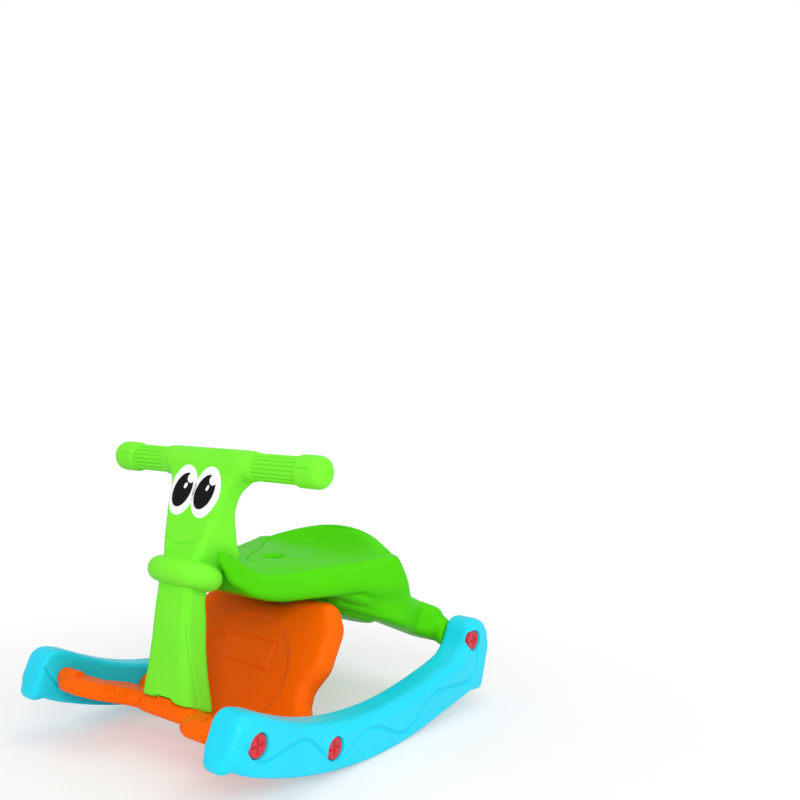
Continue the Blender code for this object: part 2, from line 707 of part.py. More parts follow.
def saddle(inner=0.0):
    """The saddle, or the solid of its hollow where inner is the wall."""
    outline = saddle_outline()
    edge = inset(outline, [SADDLE_EDGE + inner] * len(outline))
    side = [(0.0, 10.0), (0.02, 3.0), (0.1, -2.0), (0.35, -5.0), (0.7, -3.0), (0.95, 0.5)]
    rings = [(share, inset(outline, [depth + inner] * len(outline))) for share, depth in side]
    for closing in (0.0, 0.12, 0.28, 0.5):
        crown = [(x * (1 - closing), CROWN_Y + (y - CROWN_Y) * (1 - closing)) for x, y in edge]
        rings.append((1.0, crown))
    solid = bmesh.new()
    rows = []
    for share, ring in rings:
        row = []
        for x, y in ring:
            low = saddle_low(y) + inner
            high = saddle_top(x, y) if inner == 0 else lowest_top(x, y) - inner
            y += rear_slope(y, share)
            row.append(solid.verts.new((x, y, low + (high - low) * share)))
        rows.append(row)
    for low_row, high_row in zip(rows, rows[1:]):
        for index in range(len(outline)):
            after = (index + 1) % len(outline)
            solid.faces.new((low_row[index], low_row[after], high_row[after], high_row[index]))
    cap_across(solid, rows[0], lambda y, z: z, False)
    cap_across(solid, rows[-1], lambda y, z: lowest_top(0, y) - inner if inner else saddle_top(0, y), True)
    return solid


def panel_place():
    y, z = REAR_AXIS
    rise, run = sin(FACE_SLOPE), cos(FACE_SLOPE)
    turn = Matrix(((-1, 0, 0), (0, -run, rise), (0, rise, run)))
    return Matrix.Translation((0, y * MM, z * MM)) @ turn.to_4x4()


def panel_outline():
    """The head-shaped panel seen from below, as (x, forward along the slope)."""
    half = [(50.0, -14.0), (80.0, -6.0), (118.0, 20.0), (126.0, 60.0), (132.0, 100.0)]
    half += [(126.0, 140.0), (116.0, 180.0), (100.0, 226.0), (80.0, 234.0)]
    return [(0.0, -14.0)] + half + [(-x, y) for x, y in reversed(half)]


def arm_outline():
    """The lobe at a rear corner, which runs forward into the side of the saddle."""
    ear = arc((110.0, 12.0), 33.0, 205.0, 380.0, 7)
    side = [(130.0, 48.0), (137.0, 80.0), (138.0, 104.0), (130.0, 142.0), (116.5, 180.0)]
    return ear + side + [(104.0, 214.0), (62.0, 214.0), (58.0, 180.0), (70.0, 110.0), (76.0, 50.0)]


def dome_outline():
    """The swollen middle of the seat's underside, seen from below."""
    outline = []
    for step in range(14):
        angle = 2 * pi * step / 14
        outline.append((DOME_HALF_WIDTH * cos(angle), DOME_AT + DOME_HALF_LENGTH * sin(angle)))
    return outline


def seat_stub(side):
    """The short round arm to a runner, which starts higher on the seat than it ends."""
    rings = []
    for x, rise, radius in (
        (118.0, 12.0, 22.0), (132.0, 11.0, 22.3),
        (INNER_FACE - GAP - 2.0, 0.5, 20.5), (INNER_FACE - GAP, 0.0, 18.5),
    ):
        centre = (REAR_AXIS[0] + rise * sin(FACE_SLOPE), REAR_AXIS[1] + rise * cos(FACE_SLOPE))
        rings.append([(side * x, y, z) for y, z in arc(centre, radius, 0.0, 332.3, 12)])
    return loft(rings)


def seat(material):
    piece = new_object("seat", saddle())
    place = panel_place()
    space = helper("seat_hollow", saddle(WALL))
    for label, outline, low, high in (
        ("panel", panel_outline(), PANEL_LOW, PANEL_HIGH),
        ("dome", dome_outline(), DOME_LOW, DOME_HIGH),
        ("left_arm", arm_outline(), ARM_LOW, ARM_HIGH),
        ("right_arm", [(-x, y) for x, y in reversed(arm_outline())], ARM_LOW, ARM_HIGH),
    ):
        edges = [15.0] * len(outline)
        solid = slab(outline, low, high, edges, "Z", 2)
        combine(piece, helper(f"seat_{label}", solid, place), "UNION")
        inner = inset(outline, [WALL] * len(outline))
        hollow = slab(inner, low + WALL, high - WALL, [12.0] * len(inner), "Z", 1)
        combine(space, helper(f"seat_{label}_hollow", hollow, place), "UNION")
    for side, label in ((1, "left"), (-1, "right")):
        combine(piece, helper(f"seat_{label}_stub", seat_stub(side)), "UNION")
        prong = seat_prong(side)
        combine(piece, helper(f"seat_{label}_prong", prong), "UNION")
    combine(piece, space, "DIFFERENCE")
    line = seat_screw_line()
    floor = SEAT_SCREW_TOP - HEAD_THICK - GAP
    post = turned([
        (SEAT_JOIN + GAP, SLEEVE_RADIUS + 4.0), (floor - WALL, SLEEVE_RADIUS + 4.0),
        (floor - WALL, RECESS_RADIUS + WALL), (SADDLE_HIGH - 5.0, RECESS_RADIUS + WALL),
        (SADDLE_HIGH - 1.0, 30.0),
    ])
    combine(piece, helper("seat_post", post, line), "UNION")
    bore = SHANK_RADIUS + RUNNING
    hole = turned([
        (SEAT_JOIN - 5.0, bore), (floor, bore), (floor, RECESS_RADIUS - 1.0),
        (SADDLE_HIGH - 6.0, RECESS_RADIUS - 1.0), (SADDLE_HIGH, 31.0), (SADDLE_HIGH + 9.0, 31.0),
    ])
    combine(piece, helper("seat_bore", hole, line), "DIFFERENCE")
    below = Matrix.Translation((0, DOME_AT * MM, DOME_LOW * MM)) @ Matrix.Rotation(pi / 2, 4, "Y")
    vent(piece, "seat", panel_place() @ below)
    add_pegs(piece, "seat", REAR_AXIS, INNER_FACE - 8.0)
    return finish(piece, material)


def seat_prong(side):
    """A front prong, which reaches forward beside the head."""
    rings = []
    for y, inner, outer, low, high in (
        (-150.0, 51.5, 57.0, 257.5, 268.0), (-146.0, 51.0, 59.5, 254.0, 272.0),
        (-140.0, 50.8, 60.5, 244.0, 268.5), (-130.0, 50.8, 62.0, 230.0, 263.0),
        (-112.0, 50.5, 65.0, 217.0, 251.0), (-95.0, 51.5, 69.0, 205.0, 240.0),
    ):
        ring = [(inner, low + 3), (inner + 2, low), (outer - 3, low), (outer, low + 6)]
        ring += [(outer + 2, (low + high) / 2), (outer - 1, high - 3), (outer - 3, high), (inner, high)]
        rings.append([(side * x, y, z) for x, z in ring])
    return loft(rings)


# Eyes

def face_front(height):
    """How far behind the front screws' line the head's flat face lies."""
    return 4.1 + 0.0131 * (height - 189.0)


def eye_sticker(material):
    """The printed double eye, a thin sheet on the front of the head."""
    outline = []
    for centre, start in ((21.5, -155.0), (-21.9, 25.0)):
        for step in range(14):
            angle = radians(start + 310.0 * step / 13)
            height = 34.2 * sin(angle)
            outline.append((centre + 24.2 * cos(angle) + 0.05 * height, 276.3 + height))
    rings = []
    for depth in (0.65, 0.35):
        rings.append([(x, face_front(z) - depth, z) for x, z in outline])
    piece = new_object("eye_sticker", loft(rings), base_place())
    return finish(piece, material)


def main():
    clear_scene()
    blue = plastic("blue_plastic", (0.02, 0.70, 0.90), 0.35)
    orange = plastic("orange_plastic", (1.0, 0.14, 0.0), 0.4)
    light_green = plastic("light_green_plastic", (0.20, 0.88, 0.04), 0.35)
    green = plastic("green_plastic", (0.09, 0.62, 0.01), 0.35)
    red = plastic("red_plastic", (0.75, 0.06, 0.10), 0.35)
    print_white = plastic("eye_print", (0.9, 0.9, 0.9), 0.3)
    runner("rocker_left", 1, blue)
    runner("rocker_right", -1, blue)
    base_panel(orange)
    head_column(light_green)
    support_panel(orange)
    seat(green)
    eye_sticker(print_white)
    for side, label in ((1, "left"), (-1, "right")):
        for row, axis in (("front", FRONT_AXIS), ("middle", MIDDLE_AXIS), ("rear", REAR_AXIS)):
            screw(f"{row}_screw_{label}", screw_place(*axis, side), red)
    screw("column_screw", column_screw_place(), red)
    screw("seat_screw", seat_screw_line() @ Matrix.Translation((SEAT_SCREW_TOP * MM, 0, 0)), red)


main()
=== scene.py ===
# %% [markdown]
# # A child's balance rocker
# This ride-on toy is made of big hollow plastic shells, blown in moulds and held together by plastic
# screws that turn by hand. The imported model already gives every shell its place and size.
# Here each shell is made again as a fine surface in the same place: with rounded edges, moulded
# grooves, printed eyes and a plastic finish.

from math import atan2, ceil, cos, pi, radians, sin, sqrt

import bmesh
import bpy
import numpy as np
from mathutils import Matrix, Vector
from mathutils.bvhtree import BVHTree

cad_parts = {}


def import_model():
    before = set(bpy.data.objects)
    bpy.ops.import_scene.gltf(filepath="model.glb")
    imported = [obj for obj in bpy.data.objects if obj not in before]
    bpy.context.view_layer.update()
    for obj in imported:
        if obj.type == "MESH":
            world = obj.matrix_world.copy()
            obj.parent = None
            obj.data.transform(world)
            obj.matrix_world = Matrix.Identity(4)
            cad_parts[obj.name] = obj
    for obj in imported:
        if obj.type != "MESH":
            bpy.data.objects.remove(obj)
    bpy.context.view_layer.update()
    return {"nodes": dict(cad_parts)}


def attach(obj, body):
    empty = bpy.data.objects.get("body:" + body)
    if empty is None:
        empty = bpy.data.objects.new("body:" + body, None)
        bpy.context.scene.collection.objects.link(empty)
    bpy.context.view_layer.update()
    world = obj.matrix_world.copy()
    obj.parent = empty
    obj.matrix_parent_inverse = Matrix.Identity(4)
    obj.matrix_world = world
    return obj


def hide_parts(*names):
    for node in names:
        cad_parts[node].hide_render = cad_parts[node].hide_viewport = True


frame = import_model()
print("packed pieces:", len(frame["nodes"]))

# %% [markdown]
# ## Sizes that the pieces share
# Lengths are in millimetres, seen from the rider: x to the left, y to the rear, z up. The toy was
# measured from its screws, and MIDDLE_Y moves it so that it stands with its middle over the origin.

# %% Shared sizes
MM = 0.001
MIDDLE_Y = 6.7
INNER_FACE = 158.0
OUTER_FACE = 206.0
GAP = 0.3
FRONT_AXIS = (-233.5, 85.0)
MIDDLE_AXIS = (-95.5, 39.0)
REAR_AXIS = (242.5, 105.0)
SCREW_AXES = {"front": FRONT_AXIS, "middle": MIDDLE_AXIS, "rear": REAR_AXIS}
HEAD_RADIUS = 14.3
HEAD_THICK = 6.0
HEAD_SUNK = 3.0
PEG_RADIUS = 13.5
PEG_ROOT = 128.0
PEG_END = INNER_FACE - 0.1
RECESS_RADIUS = 15.8
BASE_TILT = radians(18.4)
SUPPORT_LEAN = radians(31.6)


def moved_to(at):
    """The move to a (y, z) in the toy's middle plane, such as a screw's axis."""
    return Matrix.Translation((0, *at))


def base_place():
    """The footrest panel's own frame, which the column stands square to."""
    return moved_to(FRONT_AXIS) @ Matrix.Rotation(-BASE_TILT, 4, "X")


def support_place():
    return moved_to(MIDDLE_AXIS) @ Matrix.Rotation(-SUPPORT_LEAN, 4, "X")


# %% [markdown]
# ## Outlines
# A mould is drawn as straight lines and arcs. `rounded` turns a few corners, each with its radius,
# into an outline, `inset` moves an outline inwards, and `eased` runs a smooth curve through points
# that follow no rule. Most shapes here are alike on both sides, so half of an outline is drawn and
# `mirror_of` gives the other half.

# %% Outline helpers
def rounded(corners, largest_turn=6.0):
    """A closed outline from (x, y, radius) corners, each corner an arc of that radius."""
    points = []
    count = len(corners)
    for index, (x, y, radius) in enumerate(corners):
        here = Vector((x, y))
        if radius == 0:
            points.append((x, y))
            continue
        before = (Vector(corners[index - 1][:2]) - here).normalized()
        after = (Vector(corners[(index + 1) % count][:2]) - here).normalized()
        half = before.angle(after) / 2
        reach = radius / max(sin(half), 1e-6) * cos(half)
        centre = here + (before + after).normalized() * (radius / max(sin(half), 1e-6))
        first = here + before * reach - centre
        last = here + after * reach - centre
        turn = first.angle_signed(last)
        steps = max(1, ceil(abs(turn) / radians(largest_turn)))
        start = atan2(first.y, first.x)
        for step in range(steps + 1):
            angle = start - turn * step / steps
            points.append((centre.x + radius * cos(angle), centre.y + radius * sin(angle)))
    return points


def mirror_of(half):
    """The other half of an outline, in the order in which it goes on."""
    return [(-point[0], *point[1:]) for point in reversed(half)]


def each(value, count):
    """A list with a value for every point, from such a list or from one number for all."""
    return value if isinstance(value, list) else [value] * count


def inset(points, distances):
    """The outline moved inwards along its mitres, by one distance or by each point's own."""
    moved = []
    count = len(points)
    distances = each(distances, count)
    for index in range(count):
        here = Vector(points[index])
        before = (here - Vector(points[index - 1])).normalized()
        after = (Vector(points[(index + 1) % count]) - here).normalized()
        normal = Vector((-before.y - after.y, before.x + after.x)).normalized()
        mitre = max(normal.dot(Vector((-before.y, before.x))), 0.5)
        here += normal * (distances[index] / mitre)
        moved.append((here.x, here.y))
    return moved


def eased(points, per=8, closed=False):
    """A smooth curve through points of any dimension."""
    array = [np.array(p, float) for p in points]
    count = len(array)
    curve = []
    spans = count if closed else count - 1
    for index in range(spans):
        if closed:
            p0, p1, p2, p3 = (array[(index + k) % count] for k in (-1, 0, 1, 2))
        else:
            p0, p1 = array[max(index - 1, 0)], array[index]
            p2, p3 = array[index + 1], array[min(index + 2, count - 1)]
        for step in range(per):
            t = step / per
            curve.append(0.5 * (
                2 * p1 + (p2 - p0) * t + (2 * p0 - 5 * p1 + 4 * p2 - p3) * t * t
                + (3 * p1 - p0 - 3 * p2 + p3) * t ** 3
            ))
    if not closed:
        curve.append(array[-1])
    return curve


def smooth_value(knots, at):
    """A smooth value at a place along a list of (place, value) knots."""
    if at <= knots[0][0]:
        return knots[0][1]
    if at >= knots[-1][0]:
        return knots[-1][1]
    index = 0
    while knots[index + 1][0] < at:
        index += 1
    x0, y0 = knots[index]
    x1, y1 = knots[index + 1]
    before = knots[max(index - 1, 0)]
    after = knots[min(index + 2, len(knots) - 1)]
    slope0 = (y1 - before[1]) / (x1 - before[0])
    slope1 = (after[1] - y0) / (after[0] - x0)
    t = (at - x0) / (x1 - x0)
    span = x1 - x0
    return (
        y0 * (1 + 2 * t) * (1 - t) ** 2 + span * slope0 * t * (1 - t) ** 2
        + y1 * t * t * (3 - 2 * t) + span * slope1 * t * t * (t - 1)
    )


# %% [markdown]
# ## Solids
# Each shell starts as a few closed solids that overlap: lofts, slabs with rounded edges and turned
# shapes. A voxel remesh then takes them for one body, as plastic that is blown against a mould is
# one skin, and a little smoothing gives the joins the soft fillets that a mould has.

# %% Solid helpers
EDGE_STEPS = 7


def loft(rings):
    """A closed solid through rings that have the same number of points."""
    solid = bmesh.new()
    rows = [[solid.verts.new(point) for point in ring] for ring in rings]
    count = len(rows[0])
    for low, high in zip(rows, rows[1:]):
        for index in range(count):
            after = (index + 1) % count
            solid.faces.new((low[index], low[after], high[after], high[index]))
    caps = [solid.faces.new(rows[0][::-1]), solid.faces.new(rows[-1])]
    solid.normal_update()
    bmesh.ops.triangulate(solid, faces=caps)
    return solid


def slab(outline, low, high, edge_radii, along="X", high_radii=None):
    """An outline extruded along an axis, with both of its edges rounded."""
    rings = []
    for face, direction, radii in ((low, 1, edge_radii), (high, -1, high_radii or edge_radii)):
        radii = each(radii, len(outline))
        for turn in range(EDGE_STEPS + 1)[::direction]:
            angle = pi / 2 * turn / EDGE_STEPS
            flat = inset(outline, [r * (1 - sin(angle)) for r in radii])
            ring = []
            for (u, v), radius in zip(flat, radii):
                depth = face + direction * radius * (1 - cos(angle))
                place = {"X": (depth, u, v), "Y": (u, depth, v), "Z": (u, v, depth)}
                ring.append(place[along])
            rings.append(ring)
    return loft(rings)


def turned(profile, sides=64):
    """A solid turned about +X from (distance along X, radius) points."""
    rings = []
    for along, radius in profile:
        ring = []
        for side in range(sides):
            angle = 2 * pi * side / sides
            ring.append((along, radius * cos(angle), radius * sin(angle)))
        rings.append(ring)
    return loft(rings)


def pegs(axis):
    """The two round pegs that stand a little out of a panel's ends, towards the runners."""
    ends = [(PEG_ROOT, PEG_RADIUS), (PEG_END, PEG_RADIUS)]
    near, far = (put(turned(ends), moved_to(axis)) for _ in range(2))
    return [near, mirror_x(far)]


def put(solid, place):
    bmesh.ops.transform(solid, matrix=place, verts=solid.verts)
    return solid


def mirror_x(solid):
    """The same solid on the toy's other side, with its faces still pointing out."""
    bmesh.ops.transform(solid, matrix=Matrix.Scale(-1, 4, (1, 0, 0)), verts=solid.verts)
    bmesh.ops.reverse_faces(solid, faces=solid.faces)
    return solid


# %% [markdown]
# An object is made in metres with its place in its mesh, so it sits at the origin, unturned, as the
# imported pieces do. `moulded` is the blow mould: it joins the solids, remeshes them and smooths them.

# %% From solids to a moulded shell
TO_WORLD = Matrix.Scale(MM, 4) @ Matrix.Translation((0, -MIDDLE_Y, 0))


def world(solids):
    """One mesh, in metres and in the toy's place, from solids in millimetres."""
    joined = bmesh.new()
    part = bpy.data.meshes.new("part")
    for solid in solids:
        bmesh.ops.recalc_face_normals(solid, faces=solid.faces)
        solid.to_mesh(part)
        solid.free()
        joined.from_mesh(part)
    bpy.data.meshes.remove(part)
    bmesh.ops.transform(joined, matrix=TO_WORLD, verts=joined.verts)
    return joined


def in_scene(name, data):
    """A new object in the scene, from a mesh, a lamp or a camera."""
    made = bpy.data.objects.new(name, data)
    bpy.context.scene.collection.objects.link(made)
    return made


def as_object(name, solids):
    mesh = bpy.data.meshes.new(name)
    joined = world(solids)
    joined.to_mesh(mesh)
    joined.free()
    return in_scene(name, mesh)


def bake(piece):
    """Replaces a piece's mesh by what its modifiers make of it, and drops the modifiers."""
    graph = bpy.context.evaluated_depsgraph_get()
    graph.update()
    mesh = bpy.data.meshes.new_from_object(piece.evaluated_get(graph))
    piece.modifiers.clear()
    old = piece.data
    piece.data = mesh
    mesh.name = piece.name
    bpy.data.meshes.remove(old)
    return piece


def moulded(name, solids, voxel, soften):
    piece = as_object(name, solids)
    remesh = piece.modifiers.new("remesh", "REMESH")
    remesh.mode = "VOXEL"
    remesh.voxel_size = voxel * MM
    smooth = piece.modifiers.new("soften", "SMOOTH")
    smooth.factor = 0.5
    smooth.iterations = soften
    bake(piece)
    print(f"{name}: {len(piece.data.polygons)} faces")
    return piece


def cut(piece, solids):
    """Cuts crisp holes into a moulded piece."""
    cutter = as_object("cutter", solids)
    difference = piece.modifiers.new("cut", "BOOLEAN")
    difference.operation = "DIFFERENCE"
    difference.solver = "EXACT"
    difference.object = cutter
    bake(piece)
    bpy.data.objects.remove(cutter)
    return piece


# %% [markdown]
# ## Grooves
# The moulds also press lines into the plastic: waves, flutes, circles. On a dense mesh the simplest
# way is the way it happens in the mould: every point near the line's path is pushed in, most in the
# middle and less towards the sides. First the faces near the path are split, so that a narrow line
# still has enough points across it.

# %% Groove helpers
REFINED_BESIDE = 1.5
FACING_SHARE = 0.2


def metres(points):
    """Places in millimetres, as (x, y, z) in the toy's frame, turned to metres."""
    moved = np.array(points, float)
    moved[:, 1] -= MIDDLE_Y
    return moved * MM


def distance_to(path, places):
    """The distance from each place to a path of straight pieces."""
    nearest = np.full(len(places), 1e9)
    for start, end in zip(path, path[1:]):
        along = end - start
        length = max(along @ along, 1e-18)
        share = np.clip((places - start) @ along / length, 0, 1)
        gap = np.linalg.norm(places - start - share[:, None] * along, axis=1)
        nearest = np.minimum(nearest, gap)
    return nearest


def coordinates(mesh):
    places = np.empty(len(mesh.vertices) * 3)
    mesh.vertices.foreach_get("co", places)
    return places.reshape(-1, 3)


def set_coordinates(mesh, places):
    mesh.vertices.foreach_set("co", places.ravel())
    mesh.update()


def near_path(places, path, reach):
    """The distances to a path, worked out only for the places that can be within reach."""
    low, high = path.min(0) - reach, path.max(0) + reach
    close = np.flatnonzero(((places > low) & (places < high)).all(1))
    away = np.full(len(places), 1e9)
    if len(close):
        away[close] = distance_to(path, places[close])
    return away


def refine(piece, path, reach):
    """Splits the faces along a path once."""
    away = near_path(coordinates(piece.data), path, reach)
    solid = bmesh.new()
    solid.from_mesh(piece.data)
    edges = [e for e in solid.edges if all(away[v.index] < reach for v in e.verts)]
    bmesh.ops.subdivide_edges(solid, edges=edges, cuts=1, use_grid_fill=True)
    solid.to_mesh(piece.data)
    solid.free()


def press(piece, points, width, depth, facing=None):
    """Presses a groove that is width wide at its lips and depth deep along a path in millimetres."""
    path = metres(points)
    half = width / 2 * MM
    refine(piece, path, half + REFINED_BESIDE * MM)
    mesh = piece.data
    places = coordinates(mesh)
    away = near_path(places, path, half)
    inside = away < half
    normals = np.array([v.normal for v in mesh.vertices])
    if facing is not None:
        inside &= normals @ np.array(facing, float) > FACING_SHARE
    share = np.where(inside, 1 - (away / half) ** 2, 0)
    places -= normals * (share * depth * MM)[:, None]
    set_coordinates(mesh, places)


def smooth_near(piece, at, reach, rounds):
    """Lets everything within reach of a place, seen from the side, flow into one soft form."""
    mesh = piece.data
    places = coordinates(mesh)
    away = np.hypot(places[:, 1] / MM + MIDDLE_Y - at[0], places[:, 2] / MM - at[1])
    ends = np.empty(len(mesh.edges) * 2, int)
    mesh.edges.foreach_get("vertices", ends)
    ends = ends.reshape(-1, 2)
    ends = ends[(away[ends] < reach).any(1)]
    count = np.maximum(np.bincount(ends.ravel(), minlength=len(places)), 1)[:, None]
    weight = np.clip((reach - away) / (0.4 * reach), 0, 1)[:, None] * 0.5
    for _ in range(rounds):
        total = np.zeros_like(places)
        np.add.at(total, ends[:, 0], places[ends[:, 1]])
        np.add.at(total, ends[:, 1], places[ends[:, 0]])
        places += weight * (total / count - places)
    set_coordinates(mesh, places)


def surface(piece):
    """A search tree on a piece's faces, for finding where a line meets it."""
    mesh = piece.data
    faces = [tuple(p.vertices) for p in mesh.polygons]
    return BVHTree.FromPolygons([v.co.copy() for v in mesh.vertices], faces)


def onto(tree, points, direction, back=60.0):
    """Millimetre points moved along a direction until they lie on a surface, where they meet it."""
    found = []
    ray = Vector(direction).normalized()
    for point in metres(points):
        hit = tree.ray_cast(Vector(point) - ray * back * MM, ray)[0]
        if hit is not None:
            found.append((hit.x / MM, hit.y / MM + MIDDLE_Y, hit.z / MM))
    return found


# %% [markdown]
# ## Plastic
# Blown polyethylene is shiny but never perfectly smooth: the skin has a faint orange-peel texture,
# its gloss changes from place to place, and its colour is a touch uneven where the wall is thinner.
# One function makes that finish, so each shell only brings its own colour.

# %% Plastic finish
GLOSS_SPREAD = 0.06


def node(tree, kind, inputs=None, **settings):
    """A new node with its settings; each of its inputs gets a value, or a link from an output."""
    made = tree.nodes.new(kind)
    for label, value in settings.items():
        setattr(made, label, value)
    for label, value in (inputs or {}).items():
        if isinstance(value, bpy.types.NodeSocket):
            tree.links.new(value, made.inputs[label])
        else:
            made.inputs[label].default_value = value
    return made


def noise(tree, where, scale, detail):
    inputs = {"Scale": scale, "Detail": detail, "Vector": where}
    return node(tree, "ShaderNodeTexNoise", inputs).outputs["Fac"]


def plastic(name, colour, roughness, peel=0.04, cloud=0.05, ior=1.5, specular=0.18):
    material = bpy.data.materials.new(name)
    material.use_nodes = True
    tree = material.node_tree
    where = node(tree, "ShaderNodeTexCoord").outputs["Object"]
    tint = node(tree, "ShaderNodeMix", {
        "A": (*[c * (1 - cloud) for c in colour], 1),
        "B": (*[min(c * (1 + cloud), 1) for c in colour], 1),
        "Factor": noise(tree, where, 14.0, 3.0),
    }, data_type="RGBA")
    gloss = node(tree, "ShaderNodeMapRange", {
        "To Min": roughness - GLOSS_SPREAD, "To Max": roughness + GLOSS_SPREAD,
        "Value": noise(tree, where, 45.0, 4.0),
    })
    skin = node(tree, "ShaderNodeBump", {
        "Strength": peel, "Distance": 0.0005, "Height": noise(tree, where, 900.0, 2.0),
    })
    shader = tree.nodes["Principled BSDF"]
    shader.inputs["IOR"].default_value = ior
    shader.inputs["Specular IOR Level"].default_value = specular
    tree.links.new(tint.outputs["Result"], shader.inputs["Base Color"])
    tree.links.new(gloss.outputs["Result"], shader.inputs["Roughness"])
    tree.links.new(skin.outputs["Normal"], shader.inputs["Normal"])
    return material


blue = plastic("blue shell", (0.012, 0.660, 0.860), 0.34)
orange = plastic("orange shell", (1.0, 0.130, 0.001), 0.36, ior=1.22)
light_green = plastic("light green shell", (0.190, 0.840, 0.035), 0.36, ior=1.22)
green = plastic("green shell", (0.080, 0.630, 0.003), 0.36, ior=1.22)
red = plastic("red screw", (0.640, 0.036, 0.060), 0.38, 0.10, 0.08)
eye_white = plastic("printed white", (0.92, 0.92, 0.92), 0.30, 0.02, 0.01)
eye_black = plastic("printed black", (0.006, 0.006, 0.007), 0.32, 0.02, 0.01, specular=0.08)


def dress(piece, material, nodes, body="root", sharp=180.0):
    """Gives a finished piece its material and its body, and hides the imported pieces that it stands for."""
    piece.data.materials.clear()
    piece.data.materials.append(material)
    piece.data.shade_smooth()
    if sharp < 180.0:
        piece.data.set_sharp_from_angle(angle=radians(sharp))
    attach(piece, body)
    if nodes:
        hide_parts(*nodes)
    return piece


# %% [markdown]
# ## Runners
# Each runner is one fat curved shell. Seen from the side it is an outline of arcs: a long rolling
# underside, a hollow top, a blunt front end and a tall rear end. Its top edges are rounded more than
# its bottom ones, and a knob under each end stops the toy from tipping over.

# %% Runner outline
BOTTOM_CENTRE = (18.5, 697.0)
BOTTOM_RADIUS = 697.0
TOP_LINE = [
    (-190.0, 101.9), (-150.0, 86.0), (-110.0, 74.3), (-75.0, 67.0), (-33.0, 62.0),
    (11.0, 59.6), (57.0, 61.0), (107.0, 66.5), (165.0, 76.0),
]
FOOT_HALF = 20.0
TOP_EDGE = 17.0
INNER_TOP_EDGE = 7.0
BOTTOM_EDGE = 6.0
FRONT_STOP = (-271.0, 70.0)
REAR_STOP = (264.0, 32.5)
STOP_RADIUS = 12.0
STOP_MIDDLE = 178.0


def runner_outline():
    """The runner from the side, and for each of its points how far the edge is rounded there."""
    foot_rise = BOTTOM_RADIUS - sqrt(BOTTOM_RADIUS ** 2 - FOOT_HALF ** 2)

    def bottom(y):
        return BOTTOM_CENTRE[1] - sqrt(BOTTOM_RADIUS ** 2 - (y - BOTTOM_CENTRE[0]) ** 2) - foot_rise

    corners = []
    front, rear = BOTTOM_CENTRE[0] - FOOT_HALF, BOTTOM_CENTRE[0] + FOOT_HALF
    for y in [*np.linspace(-244.0, front, 32), *np.linspace(rear, rear + 100.0, 14)]:
        corners.append((y, bottom(y), 0))
    corners += [(240.0, 25.8, 40.0), (271.5, 22.0, 7.5), (298.1, 84.0, 30.0)]
    corners += [(286.4, 130.5, 36.0), (238.0, 137.5, 26.0), (220.0, 88.0, 55.0)]
    for y in np.linspace(165.0, -190.0, 40):
        corners.append((y, smooth_value(TOP_LINE, y), 0))
    corners += [(-224.0, 118.0, 30.0), (-256.0, 128.0, 22.0), (-282.0, 76.0, 18.0)]
    corners += [(-258.0, bottom(-258.0), 12.0)]
    outline = rounded(corners)
    radii = []
    for y, z in outline:
        middle = bottom(max(min(y, 200.0), -200.0)) + 27.0
        share = min(max((z - middle + 12.0) / 24.0, 0.0), 1.0)
        radii.append(BOTTOM_EDGE + (TOP_EDGE - BOTTOM_EDGE) * share)
    return outline, radii


def stop():
    """The round knob that keeps the toy from tipping over, across the runner's middle."""
    half = [(9.0, STOP_RADIUS), (14.0, STOP_RADIUS - 1.5), (17.5, STOP_RADIUS - 6.0)]
    profile = [(STOP_MIDDLE - x, r) for x, r in reversed(half)]
    return turned(profile + [(STOP_MIDDLE + x, r) for x, r in half], sides=32)


# %% [markdown]
# A wave is pressed into the outer face of each runner. It starts with a short stroke before the front
# screw, runs under the screws and ends at the rear one; the inner face has only the stroke. A few
# points give its path, and `eased` draws the curve through them.

# %% Make the runners
WAVE = [
    (-269, 104), (-256, 83), (-248, 73.5), (-237, 66.5), (-223, 63), (-198, 66), (-172, 69.5),
    (-161, 68.5), (-149, 62.5), (-131, 46), (-115, 30.5), (-99, 22.5), (-85, 24), (-64, 33),
    (-43, 42), (-28, 44), (-10, 40), (9, 31.5), (30, 20.5), (50, 16), (67, 18.5), (87, 30),
    (112, 44.5), (133, 51.5), (161, 50), (201, 46), (225, 46.5), (240, 56), (245, 73), (246, 88),
]


def runner(name, side, nodes):
    outline, radii = runner_outline()
    inner_edge = [min(radius, INNER_TOP_EDGE) for radius in radii]
    solids = [slab(outline, INNER_FACE, OUTER_FACE, inner_edge, high_radii=radii)]
    solids += [put(stop(), moved_to(at)) for at in (FRONT_STOP, REAR_STOP)]
    if side < 0:
        solids = [mirror_x(solid) for solid in solids]
    piece = moulded(name, solids, voxel=1.5, soften=8)
    smooth_near(piece, (-266.0, 76.0), reach=32.0, rounds=30)
    smooth_near(piece, REAR_STOP, reach=15.0, rounds=12)
    for face, out, path in ((OUTER_FACE, side, WAVE), (INNER_FACE, -side, WAVE[:3])):
        line = [(side * face, y + MIDDLE_Y, z) for y, z in eased(path, 6)]
        for width, depth in ((7.0, 1.6), (4.2, 3.0)):
            press(piece, line, width, depth, (out, 0, 0))
    floor = HEAD_SUNK + HEAD_THICK + GAP
    recess = [
        (OUTER_FACE + rise, RECESS_RADIUS + wider)
        for rise, wider in ((-floor, -0.6), (-1.2, -0.2), (-0.4, 0.0), (0.6, 0.9), (6.0, 1.0))
    ]
    holes = [put(turned(recess), moved_to(at)) for at in SCREW_AXES.values()]
    if side < 0:
        holes = [mirror_x(hole) for hole in holes]
    cut(piece, holes)
    return dress(piece, blue, nodes, sharp=40.0)


runner("runner_left", 1, ["rocker_left"])
runner("runner_right", -1, ["rocker_right"])

# %% [markdown]
# ## Footrest panel
# The orange panel lies low between the front screws and falls to the rear. It has two round lobes for
# the feet with an arch between them, and its front part is thicker, as a second layer on top.

